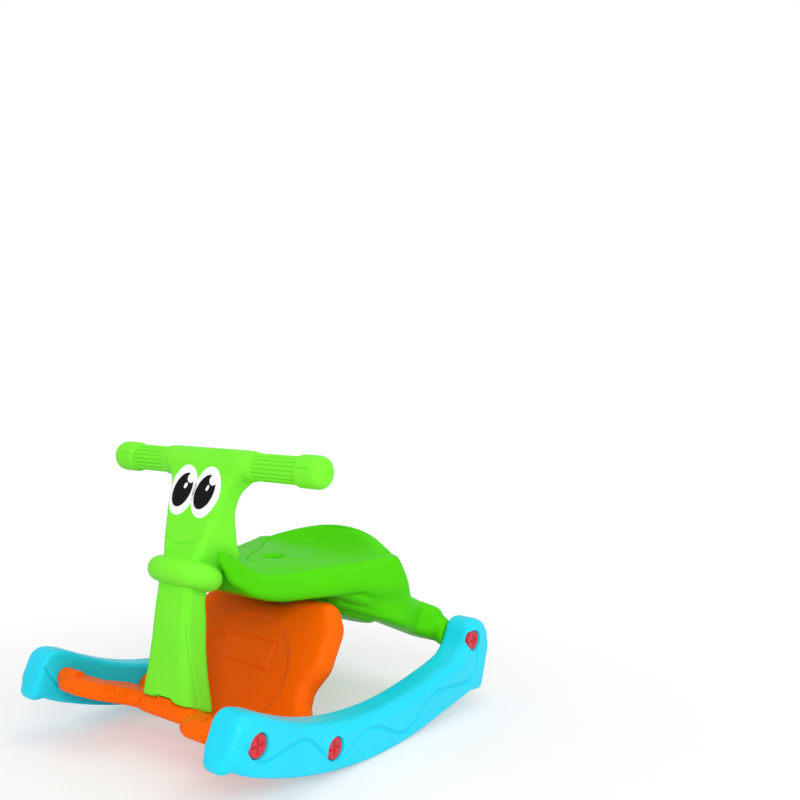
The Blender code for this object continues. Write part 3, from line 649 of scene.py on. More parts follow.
# %% Make the footrest panel
BASE_LOW = -16.0
BASE_HIGH = 2.0
PAD_HIGH = 6.5
COLUMN_SCREW_AT = 60.0
PANEL_END = INNER_FACE - GAP
PAD_END = INNER_FACE - 5.0

base_half = [
    (38.0, 34.0, 10.0), (50.0, 43.0, 8.0), (62.0, 36.0, 12.0), (80.0, -4.0, 24.0),
    (104.0, -21.0, 20.0), (140.0, -21.0, 24.0), (PANEL_END, -8.0, 20.0), (PANEL_END, 118.0, 16.0),
]
pad_half = [
    (38.0, 38.0, 10.0), (50.0, 47.0, 8.0), (64.0, 40.0, 12.0), (84.0, 2.0, 20.0),
    (106.0, -15.0, 18.0), (138.0, -15.0, 18.0), (PAD_END, 0.0, 14.0), (PAD_END, 30.0, 14.0),
    (60.0, 58.0, 20.0),
]
key = [(-13.0, 38.0), (13.0, 38.0), (13.0, 46.0), (-13.0, 46.0)]
layers = [
    slab(rounded(base_half + mirror_of(base_half)), BASE_LOW, BASE_HIGH, 8.0, "Z"),
    slab(rounded(pad_half + mirror_of(pad_half)), BASE_LOW + 6.0, PAD_HIGH, 5.0, "Z"),
    loft([[(x, y, z) for x, y in key] for z in (0.0, 9.5)]),
]
layers = [put(layer, base_place()) for layer in layers] + pegs(FRONT_AXIS)
footrest = moulded("footrest_panel", layers, voxel=1.4, soften=6)
flute = [(143, 5.4), (125, 14.6), (107, 23.8), (86, 22.4), (72, 20.6)]
upper_side = surface(footrest)
straight_down = base_place().to_3x3() @ Vector((0, 0, -1))
for side in (1, -1):
    line = [base_place() @ Vector((side * x, y, PAD_HIGH)) for x, y in eased(flute, 8)]
    press(footrest, onto(upper_side, line, straight_down), width=3.0, depth=0.9)
under = Matrix.Translation((0, COLUMN_SCREW_AT, BASE_LOW)) @ Matrix.Rotation(pi / 2, 4, "Y")
sink = turned([(-HEAD_THICK - HEAD_SUNK - GAP, RECESS_RADIUS), (6.0, RECESS_RADIUS)])
cut(footrest, [put(sink, base_place() @ under)])
dress(footrest, orange, ["base_panel"], sharp=40.0)

# %% [markdown]
# ## Support panel
# The other orange panel leans back and carries the seat. Its top is drawn like a pair of round ears,
# its front is dished in a wide circle, and a plain frame is pressed in where a name could go.

# %% Make the support panel
SUPPORT_FRONT = 7.6
SUPPORT_THICK = 36.0
BLOCK_INNER = 126.0
DISH_AT = (0.0, 62.5)
DISH_RADIUS = 87.0
DISH_STEP = 11.0
DISH_RIM_DEPTH = 3.4
DISH_MORE_IN_MIDDLE = 1.2
FRAME = (43.5, 71.6, 111.5)


def arc(centre, radius, start, end, steps):
    """Points on part of a circle, from one angle to another in degrees."""
    points = []
    for step in range(steps + 1):
        angle = radians(start + (end - start) * step / steps)
        points.append((centre[0] + radius * cos(angle), centre[1] + radius * sin(angle)))
    return points


def support_outline():
    """The panel from the front: wide at the screws, a waist, and two round lobes at the top."""
    foot = [(0.0, -20.0, 0.0), (PANEL_END, -20.0, 17.0), (PANEL_END, 26.0, 17.0)]
    lobe = [(125.5, 34.0, 18.0), (121.0, 62.0, 22.0), (134.3, 94.0, 30.0), (132.0, 154.0, 32.0)]
    dip = [(109.0, 184.5, 22.0), (56.0, 184.5, 22.0), (36.0, 176.0, 0.0), (22.0, 172.0, 0.0)]
    outline = rounded([*foot, *lobe, *dip, (0.0, 171.0, 0.0)])
    return outline + mirror_of(outline[1:-1])


block = rounded([(y, z, 14.0) for y, z in ((-16.0, -20.0), (30.0, -20.0), (30.0, 20.0), (-16.0, 20.0))])
solids = [
    slab(support_outline(), SUPPORT_FRONT, SUPPORT_FRONT + SUPPORT_THICK, 16.5, "Y", high_radii=15.0),
    slab(block, BLOCK_INNER, PANEL_END, 8.0),
    slab(block, -PANEL_END, -BLOCK_INNER, 8.0),
]
solids = [put(solid, support_place()) for solid in solids] + pegs(MIDDLE_AXIS)
support = moulded("support_panel_fine", solids, voxel=1.5, soften=6)


def dish(piece):
    """Sinks the round middle of the panel's front, with a soft step at its rim."""
    mesh = piece.data
    places = coordinates(mesh)
    back_to_panel = np.array(support_place().inverted())
    own = places / MM + np.array((0, MIDDLE_Y, 0))
    own = own @ back_to_panel[:3, :3].T + back_to_panel[:3, 3]
    radius = np.hypot(own[:, 0] - DISH_AT[0], own[:, 2] - DISH_AT[1])
    share = np.clip((DISH_RADIUS - radius) / DISH_STEP, 0, 1)
    depth = DISH_RIM_DEPTH * share * share * (3 - 2 * share)
    depth += DISH_MORE_IN_MIDDLE * np.clip(1 - radius / DISH_RADIUS, 0, 1)
    depth[own[:, 1] > SUPPORT_FRONT + 12.0] = 0
    inwards = np.array(support_place().to_3x3() @ Vector((0, 1, 0)))
    places += depth[:, None] * inwards * MM
    set_coordinates(mesh, places)


dish(support)
half, low, high = FRAME
corners = [(-half, low), (half, low), (half, high), (-half, high), (-half, low)]
corners = [support_place() @ Vector((x, SUPPORT_FRONT, z)) for x, z in corners]
line = []
for start, end in zip(corners, corners[1:]):
    line += [start.lerp(end, k / 20) for k in range(20)]
line = onto(surface(support), line + line[:1], support_place().to_3x3() @ Vector((0, 1, 0)))
press(support, line, width=3.2, depth=1.9)
dress(support, orange, ["support_panel"])

# %% [markdown]
# ## Handlebar, head and column
# One green shell makes the column, the thick collar, the head and the handlebar. The column is a loft
# through rounded rectangles, wide at the foot, narrow under the collar and flaring into the bar.

# %% Column sections
# (height, front face, rear face, half-width in front, half-width behind, corner radius)
COLUMN_SECTIONS = [
    (6.8, 36.5, 90.0, 45.8, 45.8, 12.0),
    (45.0, 27.7, 76.0, 39.6, 39.6, 12.0),
    (80.0, 18.3, 66.0, 34.1, 34.1, 12.0),
    (115.0, 10.8, 56.0, 32.0, 32.0, 11.0),
    (150.0, 5.9, 44.0, 31.3, 31.3, 10.0),
    (178.0, 4.0, 51.0, 29.5, 33.0, 10.0),
    (188.0, 4.1, 63.0, 32.5, 38.0, 10.0),
    (197.0, 4.2, 71.0, 35.5, 42.0, 10.0),
    (205.0, 4.3, 74.0, 38.0, 45.0, 10.0),
    (213.0, 4.4, 68.0, 40.0, 47.5, 10.0),
    (224.0, 4.6, 59.0, 42.5, 49.0, 10.0),
    (239.0, 4.8, 51.0, 45.6, 50.0, 10.0),
    (251.0, 4.9, 45.0, 48.3, 50.5, 10.0),
    (264.0, 5.1, 41.8, 51.0, 51.0, 11.0),
    (285.0, 5.4, 44.0, 54.0, 53.0, 12.0),
    (300.0, 5.6, 49.0, 63.0, 62.0, 14.0),
    (318.0, 5.8, 49.5, 82.0, 82.0, 16.0),
    (334.0, 15.5, 41.5, 78.0, 78.0, 12.0),
]
BAR_AT = (28.5, 320.0)
BAR_HALF = 189.0
BAR_NEAR_END = 191.5
CORE_RADIUS = 16.0
CAP_RADIUS = 20.7
COLLAR_AT = (23.0, 170.5)
COLLAR_HALF_WIDTH = 57.0
COLLAR_HALF_DEPTH = 40.0
COLLAR_HALF_HEIGHT = 17.0
CORNER_STEPS = 8
FOOT_LOW_REAR = 2.4


def section_ring(height, front, rear, front_half, rear_half, radius):
    """A rounded rectangle at a height, which can be wider behind than in front."""
    ring = []
    corners = ((1, rear, rear_half), (-1, rear, rear_half), (-1, front, front_half), (1, front, front_half))
    for quarter, (side, face, half) in enumerate(corners):
        inwards = -radius if face == rear else radius
        for step in range(CORNER_STEPS + 1):
            angle = pi / 2 * (quarter + step / CORNER_STEPS)
            x = side * (half - radius) + radius * cos(angle)
            ring.append((x, face + inwards + radius * sin(angle), height))
    return ring


def bar_profile():
    """The bar from end to end: a swollen middle, two thin grips and a cap on each end."""
    near = [(0.0, 20.5), (62.0, 20.5), (72.0, 20.1), (78.0, 18.9), (83.0, CORE_RADIUS), (149.5, CORE_RADIUS)]
    near += [(152.0, 19.4), (154.5, CAP_RADIUS), (178.5, CAP_RADIUS), (184.0, 20.0), (188.0, 17.8)]
    near += [(190.5, 14.5), (BAR_NEAR_END, 10.0)]
    far = [(70.0, 20.5), (80.0, 20.1), (86.0, 18.9), (91.0, CORE_RADIUS), (147.0, CORE_RADIUS)]
    far += [(149.5, 19.4), (152.0, CAP_RADIUS), (176.0, CAP_RADIUS), (181.5, 20.0), (185.5, 17.8)]
    far += [(188.0, 14.5), (BAR_HALF, 10.0)]
    return mirror_of(far) + near


# %% [markdown]
# The collar is a ring that follows a flattened circle. That is a rule, so Geometry Nodes can make it:
# a circle is stretched to the two half-widths, and another circle runs along it as the section.
# The tree's inputs are the sizes, so the same tree would make a collar for a thinner column.

# %% Collar as Geometry Nodes
COUNTED = ("Ribs",)


def new_tree(name, labels):
    """A Geometry Nodes tree with named number inputs, and the outputs that carry them into it."""
    tree = bpy.data.node_groups.new(name, "GeometryNodeTree")
    tree.interface.new_socket("Geometry", in_out="OUTPUT", socket_type="NodeSocketGeometry")
    for label in labels:
        kind = "NodeSocketInt" if label in COUNTED else "NodeSocketFloat"
        tree.interface.new_socket(label, in_out="INPUT", socket_type=kind)
    return tree, node(tree, "NodeGroupInput").outputs


def grown(name, tree, values):
    """The plain mesh that a tree makes from values given by input name."""
    holder = in_scene(name, bpy.data.meshes.new(name))
    modifier = holder.modifiers.new("grow", "NODES")
    modifier.node_group = tree
    for item in tree.interface.items_tree:
        if item.in_out == "INPUT" and item.name in values:
            modifier[item.identifier] = values[item.name]
    return bake(holder)


def end_tree(tree, geometry, material):
    """Realizes what a tree has made and gives it its material."""
    real = node(tree, "GeometryNodeRealizeInstances", {"Geometry": geometry}).outputs["Geometry"]
    paint = node(tree, "GeometryNodeSetMaterial", {"Geometry": real, "Material": material})
    node(tree, "NodeGroupOutput", {"Geometry": paint.outputs["Geometry"]})
    return tree


def swept(tree, path, radius, sides, caps=False):
    """A round rod of a radius along a curve."""
    section = node(tree, "GeometryNodeCurvePrimitiveCircle", {"Resolution": sides, "Radius": radius})
    inputs = {"Curve": path, "Profile Curve": section.outputs["Curve"], "Fill Caps": caps}
    return node(tree, "GeometryNodeCurveToMesh", inputs).outputs["Mesh"]


def collar_tree():
    tree, size = new_tree("collar", ["Width", "Depth", "Section"])
    circle = node(tree, "GeometryNodeCurvePrimitiveCircle", {"Resolution": 128, "Radius": 1.0})
    stretch = node(tree, "ShaderNodeCombineXYZ", {"X": size["Width"], "Y": size["Depth"], "Z": 1.0})
    inputs = {"Geometry": circle.outputs["Curve"], "Scale": stretch.outputs["Vector"]}
    path = node(tree, "GeometryNodeTransform", inputs).outputs["Geometry"]
    return end_tree(tree, swept(tree, path, size["Section"], sides=48), light_green)


collar_ring = grown("collar_ring", collar_tree(), {
    "Width": COLLAR_HALF_WIDTH - COLLAR_HALF_HEIGHT,
    "Depth": COLLAR_HALF_DEPTH - COLLAR_HALF_HEIGHT,
    "Section": COLLAR_HALF_HEIGHT,
})
print("collar ring:", len(collar_ring.data.polygons), "faces")

# %% [markdown]
# ## Grip ribs
# Each grip has a row of thin ribs all round it, for small hands. They repeat, so Geometry Nodes make
# them: one rib is a short thin rod, and it is set on the points of a circle round the bar.

# %% Grip ribs as Geometry Nodes
def rib_tree():
    tree, size = new_tree("grip ribs", ["Ribs", "Grip radius", "Rib radius", "Start", "End"])
    ring = node(tree, "GeometryNodeMeshCircle", {"Vertices": size["Ribs"], "Radius": size["Grip radius"]})
    inputs = {"Geometry": ring.outputs["Mesh"], "Rotation": (0.0, pi / 2, 0.0)}
    around = node(tree, "GeometryNodeTransform", inputs)
    ends = [node(tree, "ShaderNodeCombineXYZ", {"X": size[at]}).outputs["Vector"] for at in ("Start", "End")]
    path = node(tree, "GeometryNodeCurvePrimitiveLine", {"Start": ends[0], "End": ends[1]})
    rib = swept(tree, path.outputs["Curve"], size["Rib radius"], sides=20, caps=True)
    inputs = {"Points": around.outputs["Geometry"], "Instance": rib}
    row = node(tree, "GeometryNodeInstanceOnPoints", inputs)
    return end_tree(tree, row.outputs["Instances"], light_green)


ribs = rib_tree()
rib_sizes = {"Ribs": 18, "Grip radius": CORE_RADIUS - 0.6, "Rib radius": 2.55}
near_ribs = grown("near_ribs", ribs, {**rib_sizes, "Start": 76.0, "End": 151.0})
far_ribs = grown("far_ribs", ribs, {**rib_sizes, "Start": -148.5, "End": -84.0})
print("ribs of one grip:", len(near_ribs.data.polygons), "faces")

# %% [markdown]
# The shell of the column is the union of the loft, the bar and the collar, and the ribs stay a crisp
# mesh of their own. Then the mould's lines are pressed in: a flute down each side of the column, a
# line on the head's sides, a thin smile on the face and the seams of the grips' ends.

# %% Make the column
def solid_of(made, place):
    """A solid from an object made in millimetres, which is removed."""
    solid = bmesh.new()
    solid.from_mesh(made.data)
    bpy.data.objects.remove(made)
    return put(solid, place)


def column_rings():
    """The sections with smooth ones between them; the foot reaches lower behind the thick layer."""
    rings = [section_ring(*row) for row in eased(COLUMN_SECTIONS, 6)]
    rings[0] = [(x, y, z if y < 62.0 else FOOT_LOW_REAR) for x, y, z in rings[0]]
    return rings


bar_place = base_place() @ moved_to(BAR_AT)
column = moulded("handlebar_column", [
    put(loft(column_rings()), base_place()),
    put(turned(bar_profile()), bar_place),
    solid_of(collar_ring, base_place() @ moved_to(COLLAR_AT)),
], voxel=1.5, soften=3)
rib_rows = as_object("grip_rib_rows", [solid_of(row, bar_place) for row in (near_ribs, far_ribs)])
dress(rib_rows, light_green, [], sharp=50.0)
notch = [(-25.0, 6.0), (25.0, 6.0), (14.5, 11.5), (-14.5, 11.5)]
cut(column, [put(loft([[(x, y, z) for x, z in notch] for y in (28.0, 47.0)]), base_place())])


def head_point(x, y, z):
    return base_place() @ Vector((x, y, z))


skin = surface(column)
rearwards = base_place().to_3x3() @ Vector((0, 1, 0))
smile = [(-32.8, 212.5), (-23.3, 210.1), (-11.9, 206.8), (2, 205.7), (14.3, 208.1), (25.4, 213.6)]
smile.append((32.8, 220.2))
line = onto(skin, [head_point(x, 0, z) for x, z in eased(smile, 8)], rearwards)
press(column, line, width=3.0, depth=1.5)
flute = [(8, 147.6), (19.7, 102), (36.1, 57.8), (57.2, 13.2)]
cheek = [(20.9, 286.7), (15.1, 266.1), (10.3, 245.2), (5.5, 242.0)]
for side in (1, -1):
    for curve, width, depth in ((flute, 4.5, 1.4), (cheek, 3.0, 0.9)):
        line = [head_point(side * 75.0, y, z) for y, z in eased(curve, 8)]
        press(column, onto(skin, line, (-side, 0, 0), 5.0), width, depth)
    more = BAR_NEAR_END - BAR_HALF if side > 0 else 0.0
    half_seam = [(179.0, 20.4), (182.5, 19.6), (186.0, 17.2), (188.2, 14.0), (189.0, 9.0)]
    seam = half_seam + [(x, -rise) for x, rise in reversed(half_seam)]
    seam = [head_point(side * (x + more), BAR_AT[0], BAR_AT[1] + rise) for x, rise in seam]
    for width, depth in ((3.4, 1.6), (2.0, 2.8)):
        press(column, seam, width, depth)
    front, height = BAR_AT[0] - CAP_RADIUS, BAR_AT[1] - 1.0
    step = [head_point(side * (x + more), front, height) for x in (151.0, 160.0, 173.0)]
    press(column, step, width=3.2, depth=1.8)
dress(column, light_green, ["head_column"])

# %% [markdown]
# ## Eyes
# The eyes are a printed sticker. Each oval is a thin disc of its own, so that its edge stays crisp: the
# disc is made as rings round a centre and laid on the face by shooting a line from each of its points
# to the shell.

# %% Make the eyes
EYE_RINGS = 10
EYE_SIDES = 72
EYE_SUNK = 0.5


def oval(centre, half_width, half_height, lean, lift):
    """A thin printed oval on the face, which stands out of it by the lift."""
    solid = bmesh.new()
    rows = []
    for ring in range(1, EYE_RINGS + 1):
        row = []
        for side in range(EYE_SIDES):
            angle = 2 * pi * side / EYE_SIDES
            height = half_height * sin(angle)
            x = centre[0] + half_width * cos(angle) + lean * height
            z = centre[1] + height
            share = ring / EYE_RINGS
            row.append((centre[0] + (x - centre[0]) * share, centre[1] + (z - centre[1]) * share))
        rows.append(row)
    laid = []
    for layer in (lift, -EYE_SUNK):
        lattice = []
        for row in rows:
            hits = onto(skin, [head_point(x, 0, z) for x, z in row], rearwards)
            lattice.append([solid.verts.new(Vector(hit) - rearwards * layer) for hit in hits])
        middle = onto(skin, [head_point(centre[0], 0, centre[1])], rearwards)[0]
        laid.append((solid.verts.new(Vector(middle) - rearwards * layer), lattice))
    for middle, lattice in laid:
        for side in range(EYE_SIDES):
            after = (side + 1) % EYE_SIDES
            solid.faces.new((middle, lattice[0][side], lattice[0][after]))
            for low, high in zip(lattice, lattice[1:]):
                solid.faces.new((low[side], high[side], high[after], low[after]))
    front, rear = laid[0][1][-1], laid[1][1][-1]
    for side in range(EYE_SIDES):
        after = (side + 1) % EYE_SIDES
        solid.faces.new((front[side], rear[side], rear[after], front[after]))
    return solid


whites = [oval((x, 276.3), 24.2, 34.2, 0.05, 0.35) for x in (21.5, -21.9)]
dress(as_object("eye_sticker_white", whites), eye_white, ["eye_sticker"], sharp=40.0)
pupils = [oval((x, 276.4), 16.8, 23.2, 0.17, 0.5) for x in (19.2, -22.2)]
dress(as_object("eye_pupils", pupils), eye_black, [], sharp=40.0)
glints = [oval((23.1, 282.1), 2.4, 4.0, 0.25, 0.65), oval((-17.8, 282.3), 3.0, 3.9, 0.25, 0.65)]
glints += [oval((30.5, 293.0), 7.0, 7.0, 0.0, 0.65), oval((-10.7, 293.0), 6.7, 6.7, 0.0, 0.65)]
dress(as_object("eye_glints", glints), eye_white, [], sharp=40.0)

# %% [markdown]
# ## Seat
# The green seat is the largest shell: a saddle with a raised rear lip and a deep rounded skirt, two
# prongs that reach past the head, and a sloping panel with round lobes that screws to the runners.

# %% Seat outline and heights
FACE_SLOPE = radians(23.5)
PANEL_LOW = -3.0
PANEL_HIGH = 37.0
ARM_LOW = -13.0
ARM_HIGH = 38.6
DOME_AT = 135.0
DOME_HALF_WIDTH = 110.0
DOME_HALF_LENGTH = 62.0
SADDLE_HIGH = 240.0
SADDLE_EDGE = 4.0
CROWN_Y = 60.0
LIP_HEIGHT = 28.0
LIP_HALF_WIDTH = 118.0
SEAT_SCREW_Y = 12.0
SEAT_SCREW_TOP = 205.0


def saddle_outline():
    """The saddle from above, without its prongs."""
    half = [(64.0, -100.0), (80.0, -52.0), (99.0, 8.0), (112.0, 48.0), (124.0, 90.0), (133.0, 118.0)]
    half += arc((116.0, 126.0), 20.0, -15.0, 65.0, 3) + [(98.0, 155.0), (66.0, 168.0), (33.0, 175.0)]
    return [tuple(point) for point in eased([*half, (0.0, 177.0), *mirror_of(half)], 6)]


def lip_lift(x, y):
    """How far the raised rear lip stands above the saddle."""
    crest = LIP_HEIGHT * max(1.0 - (x / LIP_HALF_WIDTH) ** 2, 0.0)
    rear = 177.0 - 46.0 * (abs(x) / LIP_HALF_WIDTH) ** 2
    share = min(max((y - rear + 38.0) / 30.0, 0.0), 1.0)
    return crest * share * share * (3 - 2 * share)


def saddle_top(x, y):
    edge_height = smooth_value([(-100, 2.0), (-75, -6.0), (-30, -7.0), (50, -3.0), (120, 1.0)], y)
    crease_half = 96.0 + 0.31 * y
    share = min(abs(x) / crease_half, 1.0)
    return SADDLE_HIGH + edge_height * share ** 3 + lip_lift(x, y)


def panel_middle(y):
    """The height of the sloping rear panel's middle layer."""
    centre = (ARM_LOW + ARM_HIGH) / 2
    along = (REAR_AXIS[0] + centre * sin(FACE_SLOPE) - y) / cos(FACE_SLOPE)
    return REAR_AXIS[1] + along * sin(FACE_SLOPE) + centre * cos(FACE_SLOPE)


def saddle_low(y):
    skirt = smooth_value([(-100, 209.0), (-75, 199.0), (-50, 195.0), (0, 193.5), (60, 193.0)], y)
    return min(skirt, panel_middle(y))


def rear_slope(y, share):
    """How far the skirt reaches back at a share of its height, as its rear face slopes."""
    return 0.5 * (1.0 - share) * 75.0 * min(max((y - 95.0) / 40.0, 0.0), 1.0)


# %% [markdown]
# The saddle is a loft of rings: the skirt's rings bulge out a little between the lower edge and the
# crease, and above the crease the rings close in on the middle, each at the height of the top there.

# %% Saddle
def saddle():
    outline = saddle_outline()
    edge_ring = inset(outline, SADDLE_EDGE)
    bulge = [(0.0, 10.0), (0.02, 3.0), (0.1, -2.0), (0.35, -5.0), (0.7, -3.0), (0.95, 0.5)]
    bulge.append((1.0, SADDLE_EDGE))
    rings = []
    for share in (0.0, 0.005, 0.02, 0.05, 0.1, 0.17, 0.25, 0.35, 0.47, 0.6, 0.7, 0.8, 0.88, 0.95):
        rings.append((share, inset(outline, smooth_value(bulge, share))))
    for closing in np.linspace(0.0, 0.96, 40):
        crown = [(x * (1 - closing), CROWN_Y + (y - CROWN_Y) * (1 - closing)) for x, y in edge_ring]
        rings.append((1.0, crown))
    rows = []
    for share, ring in rings:
        row = []
        for x, y in ring:
            low, high = saddle_low(y), saddle_top(x, y)
            row.append((x, y + rear_slope(y, share), low + (high - low) * share))
        rows.append(row)
    return loft(rows)


# %% [markdown]
# The sloping panel at the rear is drawn flat, with its own x to the toy's right and its y up the
# slope, and `panel_place` turns it into place. The two arms are drawn the same way and are thicker.

# %% Panel and arms
def panel_place():
    along, up = cos(FACE_SLOPE), sin(FACE_SLOPE)
    turn = Matrix(((-1, 0, 0), (0, -along, up), (0, up, along)))
    return moved_to(REAR_AXIS) @ turn.to_4x4()


def panel_outline():
    half = [(50.0, -14.0), (80.0, -6.0), (118.0, 20.0), (126.0, 60.0), (132.0, 100.0)]
    half += [(126.0, 140.0), (116.0, 180.0), (100.0, 226.0), (80.0, 234.0)]
    return [(0.0, -14.0), *half, *mirror_of(half)]


def arm_outline():
    ear = arc((110.0, 12.0), 33.0, 205.0, 380.0, 32)
    side = [(130.0, 48.0), (136.0, 80.0), (136.0, 104.0), (126.0, 138.0), (106.0, 170.0), (84.0, 200.0)]
    return ear + side + [(62.0, 205.0), (58.0, 180.0), (70.0, 110.0), (76.0, 50.0)]


# %% [markdown]
# Three more lofts go on each side. A prong runs out of the skirt and reaches forward beside the head,
# a flank is the wall between the skirt and the arm, and a stub is the arm's round end at the runner.
# Each row is one ring of the loft. The far prong is a little shorter than the near one.

# %% Prongs, flanks and stubs
# (place along the toy, inner face, outer face, lower edge, upper edge)
NEAR_PRONG = [
    (-150.5, 52.0, 56.5, 261.0, 269.0), (-149.0, 51.4, 58.0, 258.0, 272.5),
    (-145.0, 51.0, 59.5, 253.0, 273.5), (-138.0, 50.8, 60.8, 242.0, 270.0),
    (-130.0, 50.8, 62.3, 230.0, 265.5), (-112.0, 50.5, 66.0, 217.0, 254.0),
    (-92.0, 51.5, 71.5, 205.0, 241.5), (-76.0, 55.0, 77.0, 202.0, 236.5),
    (-56.0, 62.0, 83.5, 198.0, 234.5), (-30.0, 70.0, 91.5, 196.0, 234.5),
]
FAR_PRONG = [(-141.0, 51.4, 57.5, 250.0, 264.0), (-139.5, 51.0, 60.0, 246.0, 268.5)] + NEAR_PRONG[4:]
# (place along the toy, outer face, lower edge, upper edge)
FLANK = [
    (30.0, 108.0, 200.0, 215.0), (60.0, 118.0, 196.0, 224.0), (90.0, 126.0, 184.0, 226.0),
    (118.0, 131.0, 175.0, 224.0), (140.0, 133.0, 166.0, 218.0), (155.0, 133.5, 160.0, 206.0),
    (170.0, 133.5, 156.0, 186.0), (185.0, 132.5, 150.0, 168.0), (200.0, 130.0, 145.0, 158.0),
]


def side_loft(side, sections, largest_turn):
    """A loft on one side through rounded sections, each a place along the toy and its corners."""
    rings = []
    for y, corners in sections:
        rings.append([(side * x, y, z) for x, z in rounded(corners, largest_turn)])
    return loft(rings)


def prong(side):
    sections = []
    for y, inner, outer, low, high in eased(NEAR_PRONG if side > 0 else FAR_PRONG, 6):
        edge = min(8.0, (outer - inner) / 2 - 0.4)
        corners = [(inner, low, edge), (outer, low, edge), (outer, high, edge), (inner, high, 1.5)]
        sections.append((y, corners))
    return side_loft(side, sections, 14.0)


def flank(side):
    sections = []
    for y, outer, low, high in eased(FLANK, 5):
        edge = min(13.0, (high - low) / 2 - 0.5)
        back = outer - 42.0
        corners = [(back, low, 2.0), (outer, low, edge), (outer, high, edge), (back, high, 2.0)]
        sections.append((y, corners))
    return side_loft(side, sections, 7.0)


def stub(side):
    """The round end of an arm, which starts higher on the seat than it ends."""
    sizes = [(118.0, 12.0, 22.0), (130.0, 12.0, 22.5), (146.0, 5.0, 21.3)]
    sizes += [(PANEL_END - 2.0, 0.5, 20.5), (PANEL_END, 0.0, 18.5)]
    rings = []
    for x, rise, radius in eased(sizes, 4):
        centre = (REAR_AXIS[0] + rise * sin(FACE_SLOPE), REAR_AXIS[1] + rise * cos(FACE_SLOPE))
        rings.append([(side * x, y, z) for y, z in arc(centre, radius, 0.0, 352.5, 47)])
    return loft(rings)


# %% [markdown]
# All the solids go into one mould. Under the panel hangs a shallow round dome. Where the skirt, the
# flank and the arm meet, the shell is smoothed more, as it flows there without an edge.

# %% Make the seat
round_line = arc((0, 0), DOME_HALF_WIDTH, 0, 355, 71)
dome = [(x, DOME_AT + y * DOME_HALF_LENGTH / DOME_HALF_WIDTH) for x, y in round_line]
arm = arm_outline()
solids = [saddle()]
for side in (1, -1):
    solids += [prong(side), flank(side), stub(side)]
for shape, low, high, edge in (
    (panel_outline(), PANEL_LOW, PANEL_HIGH, 15.0), (dome, -20.0, 20.0, 18.0),
    (arm, ARM_LOW, ARM_HIGH, 13.0), (mirror_of(arm), ARM_LOW, ARM_HIGH, 13.0),
):
    solids.append(put(slab(shape, low, high, edge, "Z"), panel_place()))
solids += pegs(REAR_AXIS)
seat = moulded("saddle_seat", solids, voxel=1.95, soften=5)
for place, reach in (((118.0, 184.0), 34.0), ((168.0, 172.0), 34.0), ((140.0, 176.0), 30.0)):
    smooth_near(seat, place, reach, rounds=46)

# %% [markdown]
# Where the seat screw goes in, the saddle has a round dish with a deep hole in its middle.
# A thin line is pressed into the top, parallel to its edge.

# %% Seat hole and line
upright = Matrix.Translation((0, SEAT_SCREW_Y, 0)) @ Matrix.Rotation(-pi / 2, 4, "Y")
well = [(SEAT_SCREW_TOP - HEAD_THICK - GAP, 14.8)] + [
    (SADDLE_HIGH + rise, radius)
    for rise, radius in ((-7.0, 14.8), (-4.5, 15.4), (-2.2, 17.2), (-0.6, 20.0), (9.0, 22.0))
]
cut(seat, [put(turned(well), upright)])
half_line = [(0, -34), (20, -22), (59, 44), (96, 99), (112, 138), (100, 166), (64, 164), (0, 164)]
loop = eased(half_line + mirror_of(half_line[1:-1]), 10, True)
line = onto(surface(seat), [(x, y, SADDLE_HIGH) for x, y in loop], (0, 0, -1))
press(seat, line + line[:1], width=3.2, depth=2.0)
dress(seat, green, ["seat"], sharp=40.0)

# %% [markdown]
# ## Screws
# Eight red screws hold the shells together, and each can be turned. They are all alike, so one
# Geometry Nodes tree makes the screw: a round head and shank, with a cross cut into the head. Each
# screw is a mesh of its own, because each turns on its own.

# %% Screws as Geometry Nodes
def maths(tree, operation, first, second):
    return node(tree, "ShaderNodeMath", {0: first, 1: second}, operation=operation).outputs["Value"]


def rod(tree, radius, length, top, sides):
    """An upright rod whose top lies at a height, and the height of its lower end."""
    low = maths(tree, "SUBTRACT", top, length)
    middle = maths(tree, "MULTIPLY", maths(tree, "ADD", top, low), 0.5)
    body = node(tree, "GeometryNodeMeshCylinder", {"Vertices": sides, "Radius": radius, "Depth": length})
    at = node(tree, "ShaderNodeCombineXYZ", {"Z": middle}).outputs["Vector"]
    inputs = {"Geometry": body.outputs["Mesh"], "Translation": at}
    return node(tree, "GeometryNodeTransform", inputs).outputs["Geometry"], low


def screw_tree():
    tree, size = new_tree("screw", [
        "Head radius", "Head thickness", "Shank radius", "Shank length", "Slot length", "Slot width",
        "Slot depth",
    ])
    head, under_head = rod(tree, size["Head radius"], size["Head thickness"], 0.0, 96)
    shank, _ = rod(tree, size["Shank radius"], size["Shank length"], under_head, 48)
    carve = node(tree, "GeometryNodeMeshBoolean", {"Mesh 1": head}, operation="DIFFERENCE", solver="EXACT")
    height = maths(tree, "MULTIPLY", size["Slot depth"], 2.0)
    for long, wide in (("X", "Y"), ("Y", "X")):
        inputs = {long: size["Slot length"], wide: size["Slot width"], "Z": height}
        slot_size = node(tree, "ShaderNodeCombineXYZ", inputs).outputs["Vector"]
        slot = node(tree, "GeometryNodeMeshCube", {"Size": slot_size})
        tree.links.new(slot.outputs["Mesh"], carve.inputs["Mesh 2"])
    both = node(tree, "GeometryNodeJoinGeometry", {"Geometry": carve.outputs["Mesh"]})
    tree.links.new(shank, both.inputs["Geometry"])
    return end_tree(tree, both.outputs["Geometry"], red)


SCREW_SIZES = {
    "Head radius": HEAD_RADIUS, "Head thickness": HEAD_THICK, "Shank radius": 8.0, "Shank length": 62.0,
    "Slot length": 20.0, "Slot width": 3.2, "Slot depth": 2.5,
}
screws = screw_tree()


